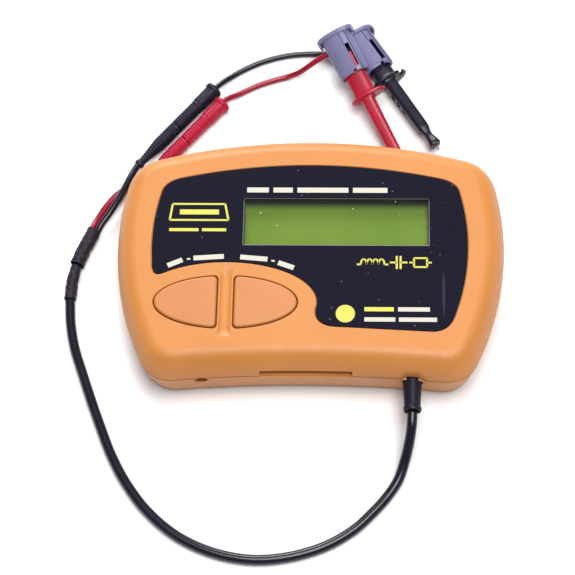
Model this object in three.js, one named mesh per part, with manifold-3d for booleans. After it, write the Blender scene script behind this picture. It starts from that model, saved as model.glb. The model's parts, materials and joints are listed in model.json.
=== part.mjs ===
// A handheld LCR meter: a curved two-part plastic case with a recessed front label, a character
// display, two press buttons, its electronics and battery, and a captive lead that splits into a
// red and a black branch, each ending in a 2 mm plug and socket with a sprung hook grabber.
// Millimetres, +Z up, +Y towards the back edge. The origin is under the middle of the case.
import * as THREE from 'three';
import { mergeVertices } from 'three/addons/utils/BufferGeometryUtils.js';
import Module from 'manifold-3d';

const wasm = await Module();
wasm.setup();

// ---- Driving dimensions -------------------------------------------------------------------
const CASE_HALF_WIDTH = 51.5;
const CASE_HALF_DEPTH = 35;
const CASE_HEIGHT = 20;
const SEAM_Z = 12.6;
const SEAM_GAP = 0.3;
const WALL = 2;
const BACK_ARC_R = 159;
const BACK_CORNER_R = 11;
const SIDE_ARC_R = 80;
const SIDE_WIDEST_Y = 4.5;
const FRONT_CORNER_R = 6.5;
const FRONT_ARC_R = 400;
const TOP_EDGE_R = 5;
const BOTTOM_EDGE_R = 3;
const TOP_DRAFT = 1;
const BOTTOM_DRAFT = 1.6;
const FIT_GAP = 0.3;

const LABEL_DEPTH = 0.4;
const LABEL_THICKNESS = 0.35;
const WINDOW = { x: 6.95, y: 7.85, halfWidth: 24.65, halfDepth: 7.05 };
const PANE = { halfWidth: 27.2, halfDepth: 9.6, low: 18.8, high: 19.5 };
const DISPLAY_RIM = { halfWidth: 26, halfDepth: 8.4, high: 18.5 };
const DISPLAY_SIGHT = { halfWidth: 24.9, halfDepth: 7.3 };

const BUTTON_CENTRE = { x: -21.6, y: -15.65 };
const BUTTON_OVAL = { a: 18.9, b: 7.7 };
const BUTTON_BAR = 4;
const BUTTON_PROUD = 0.5;

const BOARD_Z = 11;
const BOARD_THICKNESS = 1.6;
const BOARD_BACK_Y = 16;
const BOARD_INSET = 4.6;
const BOARD_TOP_Z = BOARD_Z + BOARD_THICKNESS;

const BATTERY = { x: -1.6, y: 22.8, z: 8.4, radius: 5.15, length: 28.5, noseR: 2.6, nose: 1.2 };
const HOLDER = { low: 2.1, floor: 2.9, high: 9, halfInside: 5.35, wall: 0.9 };
const CASE_SCREWS = [[-40, 20], [40, 20], [0, -26]];
const BOARD_SCREWS = [[-40, 9], [40, 9], [-38, -20], [38, -20]];

const CABLE_EXIT = { x: 27, y: -42, z: 10.1 };
const CABLE_R = 1.35;
const LEAD_R = 0.95;
const PROBE_WIRE_R = 0.8;
const SHRINK_LOWER_R = 1.75;
const SHRINK_UPPER_R = 2.1;

const CONNECTOR = { plug: 16.2, socket: 16.2, sleeveR: 1.95, fatR: 2.1, flangeR: 2.5 };
const GRABBER = { head: 14, flange: 20.8, nozzle: 21.8, taper: 40, tip: 46.2, boreR: 0.85 };
const FLANGE = { halfWidth: 5.3, halfHeight: 3, offset: 0.55 };
const HOOK = { start: 3.3, bendX: 44.4, bendR: 0.33, wireR: 0.27, claw: 1.2 };
const HEAD_HALF = { width: 4.4, height: 2.95 };
const HEAD_SLOT = { start: 5.2, end: 12.6, side: 1.4, far: 2.6 };

// ---- Colours ------------------------------------------------------------------------------
const look = (color, roughness, metalness = 0) =>
  new THREE.MeshStandardMaterial({ color, roughness, metalness });
const LOOKS = {
  orange: look(0xf0a050, 0.45),
  label: look(0x14122a, 0.6),
  clear: look(0xdfe8df, 0.1),
  screen: look(0x86a64a, 0.3),
  black: look(0x15151c, 0.35),
  red: look(0xb8102c, 0.35),
  grey: look(0x8385a0, 0.5),
  steel: look(0xb9bcc0, 0.3, 1),
  board: look(0x1f6b3a, 0.5),
  battery: look(0xc9a23a, 0.35, 0.4),
  white: look(0xd8d8d2, 0.6),
};

const model = new THREE.Group();

function addMesh(name, geometry, material, parent = model) {
  const mesh = new THREE.Mesh(geometry, material);
  mesh.name = name;
  parent.add(mesh);
  return mesh;
}

// ---- Joining and cutting ------------------------------------------------------------------
function toSolid(geometry) {
  const bare = new THREE.BufferGeometry();
  bare.setAttribute('position', geometry.getAttribute('position').clone());
  if (geometry.index) {
    bare.setIndex(geometry.index.clone());
  }
  const merged = mergeVertices(bare, 1e-4);
  return new wasm.Manifold(new wasm.Mesh({
    numProp: 3,
    vertProperties: new Float32Array(merged.attributes.position.array),
    triVerts: new Uint32Array(merged.index.array),
  }));
}

function toGeometry(solid) {
  const mesh = solid.getMesh();
  const geometry = new THREE.BufferGeometry();
  geometry.setAttribute('position', new THREE.BufferAttribute(new Float32Array(mesh.vertProperties), 3));
  geometry.setIndex(new THREE.BufferAttribute(new Uint32Array(mesh.triVerts), 1));
  geometry.computeVertexNormals();
  return geometry;
}

const cut = (body, ...tools) => tools.reduce((rest, tool) => rest.subtract(toSolid(tool)), body);
const join = (body, ...extras) => extras.reduce((rest, extra) => rest.add(toSolid(extra)), body);

// ---- Plain shapes -------------------------------------------------------------------------
function box(lowX, highX, lowY, highY, lowZ, highZ) {
  const geometry = new THREE.BoxGeometry(highX - lowX, highY - lowY, highZ - lowZ);
  return geometry.translate((lowX + highX) / 2, (lowY + highY) / 2, (lowZ + highZ) / 2);
}

function uprightCylinder(x, y, lowZ, highZ, radius, sides = 12) {
  const geometry = new THREE.CylinderGeometry(radius, radius, highZ - lowZ, sides);
  return geometry.rotateX(Math.PI / 2).translate(x, y, (lowZ + highZ) / 2);
}

// A turned piece about the X axis, from a profile of [distance along the axis, radius].
function turned(profile, sides = 12) {
  const points = profile.map(([along, radius]) => new THREE.Vector2(radius, along));
  return new THREE.LatheGeometry(points, sides).rotateZ(-Math.PI / 2);
}

// A closed skin through rings that hold the same number of points.
function loft(rings) {
  const count = rings[0].length;
  const positions = rings.flat().flatMap((p) => [p.x, p.y, p.z]);
  const index = [];
  for (let ring = 0; ring + 1 < rings.length; ring += 1) {
    for (let i = 0; i < count; i += 1) {
      const a = ring * count + i;
      const b = ring * count + (i + 1) % count;
      index.push(a, b, b + count, a, b + count, a + count);
    }
  }
  const last = (rings.length - 1) * count;
  for (let i = 1; i + 1 < count; i += 1) {
    index.push(0, i + 1, i);
    index.push(last, last + i, last + i + 1);
  }
  const geometry = new THREE.BufferGeometry();
  geometry.setAttribute('position', new THREE.Float32BufferAttribute(positions, 3));
  geometry.setIndex(index);
  return geometry;
}

// A round tube along a smooth curve through the points.
function tube(points, radius, steps, sides = 8) {
  const path = new THREE.CatmullRomCurve3(points.map((p) => new THREE.Vector3(...p)), false, 'centripetal');
  const section = new THREE.Shape();
  for (let i = 0; i < sides; i += 1) {
    const angle = (i / sides) * 2 * Math.PI;
    const method = i === 0 ? 'moveTo' : 'lineTo';
    section[method](radius * Math.cos(angle), radius * Math.sin(angle));
  }
  section.closePath();
  return new THREE.ExtrudeGeometry(section, { steps, extrudePath: path, curveSegments: 1 });
}

// ---- Case outline -------------------------------------------------------------------------
// Four kinds of arc, each tangent to the next, so an inset outline is the same arcs with other radii.
function circlesMeet(a, radiusA, b, radiusB, wantHigh) {
  const dx = b.x - a.x;
  const dy = b.y - a.y;
  const gap = Math.hypot(dx, dy);
  const along = (gap * gap + radiusA * radiusA - radiusB * radiusB) / (2 * gap);
  const off = Math.sqrt(radiusA * radiusA - along * along) * (wantHigh ? 1 : -1);
  return { x: a.x + (dx * along + dy * off) / gap, y: a.y + (dy * along - dx * off) / gap };
}

const backCircle = { x: 0, y: CASE_HALF_DEPTH - BACK_ARC_R };
const sideCircle = { x: CASE_HALF_WIDTH - SIDE_ARC_R, y: SIDE_WIDEST_Y };
const backCorner = circlesMeet(
  backCircle, BACK_ARC_R - BACK_CORNER_R, sideCircle, SIDE_ARC_R - BACK_CORNER_R, true,
);
const frontCornerY = FRONT_CORNER_R - CASE_HALF_DEPTH;
const frontCorner = {
  x: sideCircle.x + Math.sqrt((SIDE_ARC_R - FRONT_CORNER_R) ** 2 - (frontCornerY - SIDE_WIDEST_Y) ** 2),
  y: frontCornerY,
};
const frontCircle = {
  x: 0,
  y: frontCornerY - Math.sqrt((FRONT_ARC_R + FRONT_CORNER_R) ** 2 - frontCorner.x ** 2),
};
const heading = (from, to) => Math.atan2(to.y - from.y, to.x - from.x);

function arcPoints(centre, radius, start, end, steps) {
  const points = [];
  for (let i = 1; i <= steps; i += 1) {
    const angle = start + ((end - start) * i) / steps;
    points.push([centre.x + radius * Math.cos(angle), centre.y + radius * Math.sin(angle)]);
  }
  return points;
}

function caseOutline(inset, z) {
  const toFront = heading(frontCircle, frontCorner);
  const toSide = heading(sideCircle, frontCorner);
  const toBack = heading(sideCircle, backCorner);
  const toTop = heading(backCircle, backCorner);
  const half = [
    ...arcPoints(frontCircle, FRONT_ARC_R + inset, Math.PI / 2, toFront, 3),
    ...arcPoints(frontCorner, FRONT_CORNER_R - inset, toFront - Math.PI, toSide, 4),
    ...arcPoints(sideCircle, SIDE_ARC_R - inset, toSide, toBack, 5),
    ...arcPoints(backCorner, BACK_CORNER_R - inset, toBack, toTop, 4),
    ...arcPoints(backCircle, BACK_ARC_R - inset, toTop, Math.PI / 2, 4),
  ];
  const front = [0, frontCircle.y + FRONT_ARC_R + inset];
  const mirrored = half.slice(0, -1).reverse().map(([x, y]) => [-x, y]);
  return [front, ...half, ...mirrored].map(([x, y]) => new THREE.Vector3(x, y, z));
}

// Levels of [z, inset] from the seam outwards, round an edge of the given radius.
function edgeLevels(seam, face, radius, draft, steps) {
  const up = Math.sign(face - seam);
  const levels = [[seam, 0], [face - up * radius, draft]];
  for (let i = 1; i <= steps; i += 1) {
    const angle = (i / steps) * (Math.PI / 2);
    levels.push([face - up * radius * (1 - Math.sin(angle)), draft + radius * (1 - Math.cos(angle))]);
  }
  return levels;
}

function caseSkin(levels) {
  const ordered = levels[0][0] < levels[levels.length - 1][0] ? levels : [...levels].reverse();
  return loft(ordered.map(([z, inset]) => caseOutline(inset, z)));
}

// ---- Label and button outlines -------------------------------------------------------------
// The label fills the middle of the top face and bends round above the two buttons.
function labelShape(grow) {
  const sideX = (y) => 41.57 + grow - (y - 1.65) ** 2 / 118;
  const backY = (x) => 24.83 + grow - x ** 2 / 300;
  const shape = new THREE.Shape();
  shape.moveTo(-sideX(-4), -4);
  for (let y = 0; y <= 20; y += 4) {
    shape.lineTo(-sideX(y), y);
  }
  shape.quadraticCurveTo(-sideX(20) + 0.5, backY(38) + 0.8, -35.5 + grow, backY(35.5));
  for (let x = -28; x <= 28; x += 8) {
    shape.lineTo(x, backY(x));
  }
  shape.lineTo(35.5 - grow, backY(35.5));
  shape.quadraticCurveTo(sideX(20) - 0.5, backY(38) + 0.8, sideX(20), 20);
  for (let y = 14; y >= -16; y -= 5) {
    shape.lineTo(sideX(y), y);
  }
  shape.lineTo(sideX(-19), -19);
  shape.quadraticCurveTo(sideX(-23), -23.8 - grow, 32, -23.7 - grow);
  shape.lineTo(7, -22.45 - grow);
  shape.bezierCurveTo(3.6, -22.3 - grow, 1.4 - grow, -20.6, 1.9 - grow, -17.5);
  const oval = { a: 23.8 - grow, b: 11.6 - grow };
  const start = Math.asin(-1.85 / oval.b);
  const end = Math.acos(-16.6 / oval.a);
  shape.absellipse(BUTTON_CENTRE.x, BUTTON_CENTRE.y, oval.a, oval.b, start, end, false, 0);
  shape.quadraticCurveTo(-41.4 - grow, -8.8 - grow, -sideX(-4), -4);
  return shape;
}

function plate(shape, lowZ, highZ, curveSegments = 6, bevel = 0) {
  const options = { depth: highZ - lowZ - 2 * bevel, bevelEnabled: bevel > 0, curveSegments };
  if (bevel > 0) {
    options.bevelThickness = bevel;
    options.bevelSize = bevel;
    options.bevelOffset = -bevel;
    options.bevelSegments = 2;
  }
  return new THREE.ExtrudeGeometry(shape, options).translate(0, 0, lowZ + bevel);
}

// Half of the button oval: side is -1 on the left and 1 on the right.
function buttonShape(side, grow) {
  const a = BUTTON_OVAL.a + grow;
  const b = BUTTON_OVAL.b + grow;
  const flat = BUTTON_BAR / 2 - grow;
  const corner = 1.2;
  const tiltAngle = Math.acos((flat + corner) / a);
  const shape = new THREE.Shape();
  const at = (u, v) => [BUTTON_CENTRE.x + side * u, BUTTON_CENTRE.y + v];
  const rim = (angle) => at(a * Math.cos(angle), b * Math.sin(angle));
  shape.moveTo(...rim(-tiltAngle));
  const steps = 12;
  for (let i = 1; i <= steps; i += 1) {
    shape.lineTo(...rim(-tiltAngle + (2 * tiltAngle * i) / steps));
  }
  const height = b * Math.sin(tiltAngle);
  shape.quadraticCurveTo(...at(flat, height), ...at(flat, height - corner));
  shape.lineTo(...at(flat, -height + corner));
  shape.quadraticCurveTo(...at(flat, -height), ...rim(-tiltAngle));
  return shape;
}

// ---- Case ----------------------------------------------------------------------------------
// A block in the middle of the display, by its half sizes plus a margin.
function displayBlock({ halfWidth, halfDepth }, margin, lowZ, highZ) {
  const reachX = halfWidth + margin;
  const reachY = halfDepth + margin;
  return box(WINDOW.x - reachX, WINDOW.x + reachX, WINDOW.y - reachY, WINDOW.y + reachY, lowZ, highZ);
}

function reliefHole(radius) {
  const geometry = new THREE.CylinderGeometry(radius, radius, 8, 16);
  return geometry.translate(CABLE_EXIT.x, -32.5, CABLE_EXIT.z);
}

function buildTopShell() {
  const seam = SEAM_Z + SEAM_GAP / 2;
  const outer = caseSkin(edgeLevels(seam, CASE_HEIGHT, TOP_EDGE_R, TOP_DRAFT, 4));
  const innerLevels = edgeLevels(seam, CASE_HEIGHT - WALL, TOP_EDGE_R - WALL, TOP_DRAFT, 2);
  innerLevels[0][0] -= 1;
  const inner = caseSkin(innerLevels.map(([z, inset]) => [z, inset + WALL]));
  let shell = toSolid(outer).subtract(toSolid(inner));
  for (const [x, y] of CASE_SCREWS) {
    shell = join(shell, uprightCylinder(x, y, 5, CASE_HEIGHT - WALL + 0.5, 3));
    shell = cut(shell, uprightCylinder(x, y, 4, 12, 1.7));
  }
  shell = cut(shell, plate(labelShape(0.25), CASE_HEIGHT - LABEL_DEPTH, CASE_HEIGHT + 1));
  shell = cut(shell, displayBlock(DISPLAY_RIM, FIT_GAP + 0.05, CASE_HEIGHT - 4, CASE_HEIGHT + 1),
    displayBlock(PANE, FIT_GAP, PANE.low - 0.05, CASE_HEIGHT + 1));
  for (const side of [-1, 1]) {
    shell = cut(shell, plate(buttonShape(side, 0), CASE_HEIGHT - 4, CASE_HEIGHT + 1));
  }
  const openingSlot = box(-12.5, 11.5, -36, -32.3, SEAM_Z - 1, SEAM_Z + 1.3);
  return cut(shell, openingSlot, reliefHole(3));
}

function buildBottomShell() {
  const seam = SEAM_Z - SEAM_GAP / 2;
  const outer = caseSkin(edgeLevels(seam, 0, BOTTOM_EDGE_R, BOTTOM_DRAFT, 2));
  const innerLevels = edgeLevels(seam, WALL, BOTTOM_EDGE_R - WALL, BOTTOM_DRAFT, 1);
  innerLevels[0][0] += 2;
  const inner = caseSkin(innerLevels.map(([z, inset]) => [z, inset + WALL]));
  let shell = toSolid(outer).subtract(toSolid(inner));
  const lipLevels = [[seam - 2.2, WALL - 0.3], [seam - 0.05, WALL - 0.3], [seam, WALL + 1], [seam + 1, WALL + 1]];
  const lipOuter = loft(lipLevels.map(([z, inset]) => caseOutline(inset, z)));
  const lipInner = loft([caseOutline(WALL + 1.8, seam - 3), caseOutline(WALL + 1.8, seam + 2)]);
  shell = shell.add(toSolid(lipOuter).subtract(toSolid(lipInner)));
  for (const [x, y] of CASE_SCREWS) {
    shell = join(shell, uprightCylinder(x, y, 1, 4.7, 4.3));
    shell = cut(shell, uprightCylinder(x, y, -1, 2.7, 2.8), uprightCylinder(x, y, -1, 6, 1.7));
  }
  for (const [x, y] of BOARD_SCREWS) {
    shell = join(shell, uprightCylinder(x, y, 1, BOARD_Z - 0.1, 2.3));
    shell = cut(shell, uprightCylinder(x, y, 6, 12, 1.2, 8));
  }
  const spareNotch = new THREE.CylinderGeometry(1.75, 1.75, 8, 16).translate(-27.7, -32.5, seam - 1.5);
  return cut(shell, spareNotch, reliefHole(3));
}

addMesh('top_shell', toGeometry(buildTopShell()), LOOKS.orange);
addMesh('bottom_shell', toGeometry(buildBottomShell()), LOOKS.orange);

const labelBase = CASE_HEIGHT - LABEL_DEPTH + 0.05;
const labelSolid = cut(toSolid(plate(labelShape(0), labelBase, labelBase + LABEL_THICKNESS)),
  displayBlock(WINDOW, 0, CASE_HEIGHT - 4, CASE_HEIGHT + 1));
addMesh('front_label', toGeometry(labelSolid), LOOKS.label);

function buildCaseScrew(x, y) {
  const head = toSolid(uprightCylinder(x, y, 0.6, 2.4, 2.4));
  const slotA = box(x - 1.6, x + 1.6, y - 0.3, y + 0.3, 0, 1.5);
  const slotB = box(x - 0.3, x + 0.3, y - 1.6, y + 1.6, 0, 1.5);
  return cut(join(head, uprightCylinder(x, y, 2.3, 11.4, 1.4)), slotA, slotB);
}
CASE_SCREWS.forEach(([x, y], i) => {
  addMesh(`case_screw_${i + 1}`, toGeometry(buildCaseScrew(x, y)), LOOKS.steel);
});

// ---- Display -------------------------------------------------------------------------------
const DISPLAY_GLASS = { halfWidth: 27.1, halfDepth: 9.3, low: 15.4, high: 16.8 };
const DISPLAY_FRAME = { halfWidth: 28.4, halfDepth: 10.6, low: 14.7, high: 17.2 };
const DISPLAY_BOARD = { halfWidth: 30, halfDepth: 12.4, low: 13.6, high: 14.6 };
addMesh('display_window', displayBlock(PANE, 0, PANE.low, PANE.high), LOOKS.clear);
const frameSolid = cut(
  join(
    toSolid(displayBlock(DISPLAY_FRAME, 0, DISPLAY_FRAME.low, DISPLAY_FRAME.high)),
    displayBlock(DISPLAY_RIM, 0, DISPLAY_FRAME.low, DISPLAY_RIM.high),
  ),
  displayBlock(DISPLAY_GLASS, FIT_GAP, 14, DISPLAY_GLASS.high + 0.1),
  displayBlock(DISPLAY_SIGHT, 0, 14, CASE_HEIGHT),
);
addMesh('display_frame', toGeometry(frameSolid), LOOKS.black);
addMesh('display_glass', displayBlock(DISPLAY_GLASS, 0, DISPLAY_GLASS.low, DISPLAY_GLASS.high), LOOKS.screen);
const STRIP = { halfWidth: 26.5, halfDepth: 0.7, offset: 8.2, low: 14.65, high: 15.35 };
for (const [name, side] of [['front', -1], ['back', 1]]) {
  const strip = displayBlock(STRIP, 0, STRIP.low, STRIP.high).translate(0, side * STRIP.offset, 0);
  addMesh(`display_contact_strip_${name}`, strip, LOOKS.black);
}
addMesh('display_board', displayBlock(DISPLAY_BOARD, 0, DISPLAY_BOARD.low, DISPLAY_BOARD.high), LOOKS.board);
addMesh('display_header', box(-20, 16, -4.2, -2.2, BOARD_TOP_Z + 0.05, 13.55), LOOKS.black);

// ---- Electronics ---------------------------------------------------------------------------
const boardBlank = loft([caseOutline(BOARD_INSET, BOARD_Z), caseOutline(BOARD_INSET, BOARD_TOP_Z)]);
let boardSolid = cut(toSolid(boardBlank), box(-60, 60, BOARD_BACK_Y, 60, 0, 30));
boardSolid = cut(boardSolid, uprightCylinder(...CASE_SCREWS[2], 0, 30, 3.6), box(22, 32, -40, -25.5, 0, 30));
for (const [x, y] of BOARD_SCREWS) {
  boardSolid = cut(boardSolid, uprightCylinder(x, y, 0, 30, 1.2, 8));
}
addMesh('main_board', toGeometry(boardSolid), LOOKS.board);
BOARD_SCREWS.forEach(([x, y], i) => {
  const screw = join(toSolid(uprightCylinder(x, y, BOARD_TOP_Z + 0.1, BOARD_TOP_Z + 1, 1.8)),
    uprightCylinder(x, y, 7, BOARD_TOP_Z + 0.5, 0.9, 8));
  addMesh(`board_screw_${i + 1}`, toGeometry(screw), LOOKS.steel);
});

// Parts hang under the board, so each one is given by its middle, its size and its height.
function hangingPart(name, x, y, width, depth, height, material) {
  const top = BOARD_Z - 0.05;
  addMesh(name, box(x - width / 2, x + width / 2, y - depth / 2, y + depth / 2, top - height, top), material);
}
hangingPart('microcontroller', -14, 2, 22, 7.6, 3.4, LOOKS.black);
hangingPart('measuring_amplifier', 10, -6, 9, 6.2, 2.2, LOOKS.black);
hangingPart('voltage_regulator', 25, 6, 6.5, 6.2, 1.9, LOOKS.black);
hangingPart('crystal', -14, -8, 11, 4.6, 3.5, LOOKS.steel);
hangingPart('lead_connector', 27, -20, 8, 5.2, 5.5, LOOKS.white);
['a', 'b'].forEach((letter, i) => {
  const can = uprightCylinder(-31 + 9 * i, -16 - 5 * i, 4.4, BOARD_Z - 0.05, 2.6);
  addMesh(`capacitor_${letter}`, can, LOOKS.black);
});

// ---- Battery -------------------------------------------------------------------------------
const batteryLow = BATTERY.x - BATTERY.length / 2;
const batteryHigh = BATTERY.x + BATTERY.length / 2;
const batteryProfile = [
  [batteryLow, 0], [batteryLow, BATTERY.radius], [batteryHigh - BATTERY.nose, BATTERY.radius],
  [batteryHigh - BATTERY.nose, BATTERY.noseR], [batteryHigh, BATTERY.noseR], [batteryHigh, 0],
];
addMesh('battery', turned(batteryProfile, 20).translate(0, BATTERY.y, BATTERY.z), LOOKS.battery);
const holderLow = batteryLow - 3;
const holderHigh = batteryHigh + 1.4;
function holderBox(margin, lowZ, highZ) {
  const halfDepth = HOLDER.halfInside + margin;
  return box(
    holderLow - margin, holderHigh + margin, BATTERY.y - halfDepth, BATTERY.y + halfDepth, lowZ, highZ,
  );
}
const holderSolid = cut(toSolid(holderBox(HOLDER.wall, HOLDER.low, HOLDER.high)), holderBox(0, HOLDER.floor, 12));
addMesh('battery_holder', toGeometry(holderSolid), LOOKS.black);
addMesh('battery_contact_positive',
  box(batteryHigh + 0.3, batteryHigh + 0.9, BATTERY.y - 3.7, BATTERY.y + 3.7, 3.2, 12), LOOKS.steel);
const springProfile = [
  [batteryLow - 2.7, 0], [batteryLow - 2.7, 3.6], [batteryLow - 2.2, 3.6],
  [batteryLow - 0.9, 2], [batteryLow - 0.3, 2], [batteryLow - 0.3, 0],
];
addMesh('battery_contact_negative', turned(springProfile).translate(0, BATTERY.y, BATTERY.z), LOOKS.steel);

// ---- Buttons -------------------------------------------------------------------------------
const CAP_FLANGE = { low: 17, high: 17.7, grow: 0.7 };
const PLUNGER = { low: 14, high: 16.9, radius: 1.6 };
for (const [name, side, switchX] of [['left', -1, -31.4], ['right', 1, -11.8]]) {
  const cap = plate(buttonShape(side, -FIT_GAP), CAP_FLANGE.low + 0.1, CASE_HEIGHT + BUTTON_PROUD, 6, 0.7);
  const retainer = plate(buttonShape(side, CAP_FLANGE.grow), CAP_FLANGE.low, CAP_FLANGE.high);
  addMesh(`button_${name}`, toGeometry(join(toSolid(cap), retainer)), LOOKS.orange);
  const switchHalf = 3;
  const y = BUTTON_CENTRE.y;
  const body = box(
    switchX - switchHalf, switchX + switchHalf, y - switchHalf, y + switchHalf, BOARD_TOP_Z + 0.05, 15.6,
  );
  const hollow = uprightCylinder(switchX, y, 13.2, 17, PLUNGER.radius + 0.3);
  addMesh(`switch_body_${name}`, toGeometry(cut(toSolid(body), hollow)), LOOKS.black);
  addMesh(`switch_plunger_${name}`,
    uprightCylinder(switchX, y, PLUNGER.low, PLUNGER.high, PLUNGER.radius), LOOKS.white);
}

// ---- Captive lead --------------------------------------------------------------------------
const reliefProfile = [[0, 0], [0, 2.15], [8, 2.55], [12.3, 2.55], [12.3, 3.8], [13.5, 3.8], [13.5, 0]];
const relief = turned(reliefProfile, 16).rotateZ(Math.PI / 2);
addMesh('strain_relief', relief.translate(CABLE_EXIT.x, CABLE_EXIT.y, CABLE_EXIT.z), LOOKS.black);
const TAIL_ROUTE = [[27, -28.2, 10.1], [27, -26.7, 9.8], [27, -25, 8.8], [27, -23.4, 8.2]];
addMesh('lead_inner_tail', tube(TAIL_ROUTE, CABLE_R, 4), LOOKS.black);

const CABLE_ROUTE = [
  [27, -42.3, 10.1], [26.8, -45.5, 9.2], [26.2, -49.2, 6.6], [25.1, -53.2, 3.7], [23.5, -57.6, 1.9],
  [20.8, -61.8, 1.4], [17.1, -66.2, 1.4], [11.9, -71.2, 1.4], [4.5, -75.6, 1.4], [-4.5, -78.4, 1.4],
  [-14, -79.2, 1.4], [-23.8, -77.4, 1.4], [-33, -73.2, 1.4], [-40.8, -66.8, 1.4], [-46.8, -59.2, 1.4],
  [-51.2, -51.4, 1.4], [-54.6, -43.4, 1.4], [-57.6, -35.8, 1.4], [-60.4, -28.2, 1.4],
  [-62.9, -21.2, 1.4], [-64.5, -14.2, 1.5], [-65.2, -7.2, 1.8],
];
addMesh('main_cable', tube(CABLE_ROUTE, CABLE_R, 36), LOOKS.black);
const LOWER_SHRINK_ROUTE = [[-65.2, -6.9, 1.8], [-65.1, -3.6, 1.8], [-64.8, -0.4, 1.9], [-64.1, 3.2, 2.1]];
addMesh('shrink_sleeve_lower', tube(LOWER_SHRINK_ROUTE, SHRINK_LOWER_R, 5), LOOKS.black);
const UPPER_SHRINK_ROUTE = [[-64, 3.5, 2.12], [-63, 6.6, 2.12], [-61.6, 10.2, 2.12], [-60, 14, 2.12]];
addMesh('shrink_sleeve_upper', tube(UPPER_SHRINK_ROUTE, SHRINK_UPPER_R, 5), LOOKS.black);

// A connector pair lies along a heading, from its tail at the given point.
function placeAlong(x, y, z, toX, toY) {
  const group = new THREE.Group();
  group.position.set(x, y, z);
  group.rotation.z = Math.atan2(toY, toX);
  model.add(group);
  return group;
}
const plugEnd = CONNECTOR.plug - 0.15;
const socketStart = CONNECTOR.plug + 0.15;
const socketEnd = CONNECTOR.plug + CONNECTOR.socket;
const PLUG_PROFILE = [
  [0, 0], [0, 1], [0.4, 1.4], [1.2, 1.4], [1.6, 1.1], [2.2, 1.15], [8, CONNECTOR.sleeveR],
  [plugEnd, CONNECTOR.sleeveR], [plugEnd, 1.25], [9.5, 1.25], [9.5, 0],
];
const SOCKET_PROFILE = [
  [socketStart, 1.25], [socketStart, CONNECTOR.sleeveR], [25, CONNECTOR.sleeveR], [25.6, CONNECTOR.fatR],
  [socketEnd - 1.6, CONNECTOR.fatR], [socketEnd - 1, CONNECTOR.flangeR], [socketEnd, CONNECTOR.flangeR],
  [socketEnd, 0], [26.6, 0], [26.6, 1.25], [socketStart, 1.25],
];
const PIN_PROFILE = [[9.8, 0], [9.8, 0.95], [25.4, 0.95], [26.1, 0.5], [26.1, 0]];
const CONNECTOR_Z = 2.55;
const CONNECTORS = {
  black: { x: -49, y: 34.45, toX: 0.634, toY: 0.773 },
  red: { x: -46.5, y: 29.8, toX: 0.636, toY: 0.772 },
};
for (const [colour, place] of Object.entries(CONNECTORS)) {
  const group = placeAlong(place.x, place.y, CONNECTOR_Z, place.toX, place.toY);
  addMesh(`${colour}_plug_sleeve`, turned(PLUG_PROFILE), LOOKS[colour], group);
  addMesh(`${colour}_plug_pin`, turned(PIN_PROFILE, 12), LOOKS.steel, group);
  addMesh(`${colour}_socket_sleeve`, turned(SOCKET_PROFILE), LOOKS[colour], group);
}

// The red branch lies on the table and the black one crosses over it.
const LEAD_ROUTES = {
  red: [
    [-60.6, 15.1, 1.6], [-60, 16.8, 1.25], [-59, 19, 1], [-57.5, 21.8, 0.97], [-55.7, 24.5, 0.97],
    [-53.8, 26.6, 0.97], [-51.8, 27.7, 1], [-49.9, 27.9, 1.3], [-48.2, 28.3, 1.95], [-46.8, 29.5, 2.5],
  ],
  black: [
    [-58.8, 14.4, 2.2], [-57.9, 16.2, 2.55], [-56.3, 18.6, 2.85], [-54.8, 21.3, 3.05], [-53.4, 24.1, 3.1],
    [-52.2, 27, 3.1], [-51.1, 29.8, 3], [-50.1, 32.3, 2.75], [-49.25, 34.05, 2.6],
  ],
};
for (const [colour, route] of Object.entries(LEAD_ROUTES)) {
  addMesh(`${colour}_lead`, tube(route, LEAD_R, 12), LOOKS[colour]);
}
const PROBE_WIRE_ROUTES = {
  black: [
    [-28.2, 59.85, 2.5], [-26.9, 61.5, 2], [-24.6, 64, 1.15], [-21.6, 66.3, 0.83], [-18.3, 68.2, 0.82],
    [-14.9, 69.8, 0.82], [-11, 71.1, 0.82], [-7, 72, 0.82], [-2.8, 72.4, 0.82], [1.2, 72.4, 0.9],
    [4.4, 72.2, 1.5], [7, 72.2, 2.4],
  ],
  red: [
    [-26, 55.2, 2.5], [-24.4, 56.8, 1.9], [-21.8, 58.6, 1.1], [-18.8, 60.4, 0.85], [-15.2, 62.2, 0.84],
    [-11, 63.7, 0.86], [-7.6, 64.6, 1.1], [-4.6, 65, 2.5], [-2.1, 65.6, 4.5], [0.2, 66.4, 6.2],
    [1.9, 67.1, 7], [3.4, 67.7, 7.6],
  ],
};
for (const [colour, route] of Object.entries(PROBE_WIRE_ROUTES)) {
  addMesh(`${colour}_probe_wire`, tube(route, PROBE_WIRE_R, 16), LOOKS[colour]);
}

// ---- Hook grabbers -------------------------------------------------------------------------
// Drawn along +X from the thumb cap to the nozzle's tip. A section is an oval, half-width by half-height.
function oval(along, halfWidth, halfHeight, count = 16, power = 2.5) {
  const points = [];
  for (let i = 0; i < count; i += 1) {
    const angle = (i / count) * 2 * Math.PI;
    const c = Math.cos(angle);
    const s = Math.sin(angle);
    const y = halfWidth * Math.sign(c) * Math.abs(c) ** (2 / power);
    const z = halfHeight * Math.sign(s) * Math.abs(s) ** (2 / power);
    points.push(new THREE.Vector3(along, y, z));
  }
  return points;
}
const ovalLoft = (sections, count, power) => loft(sections.map((s) => oval(...s, count, power)));

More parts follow.
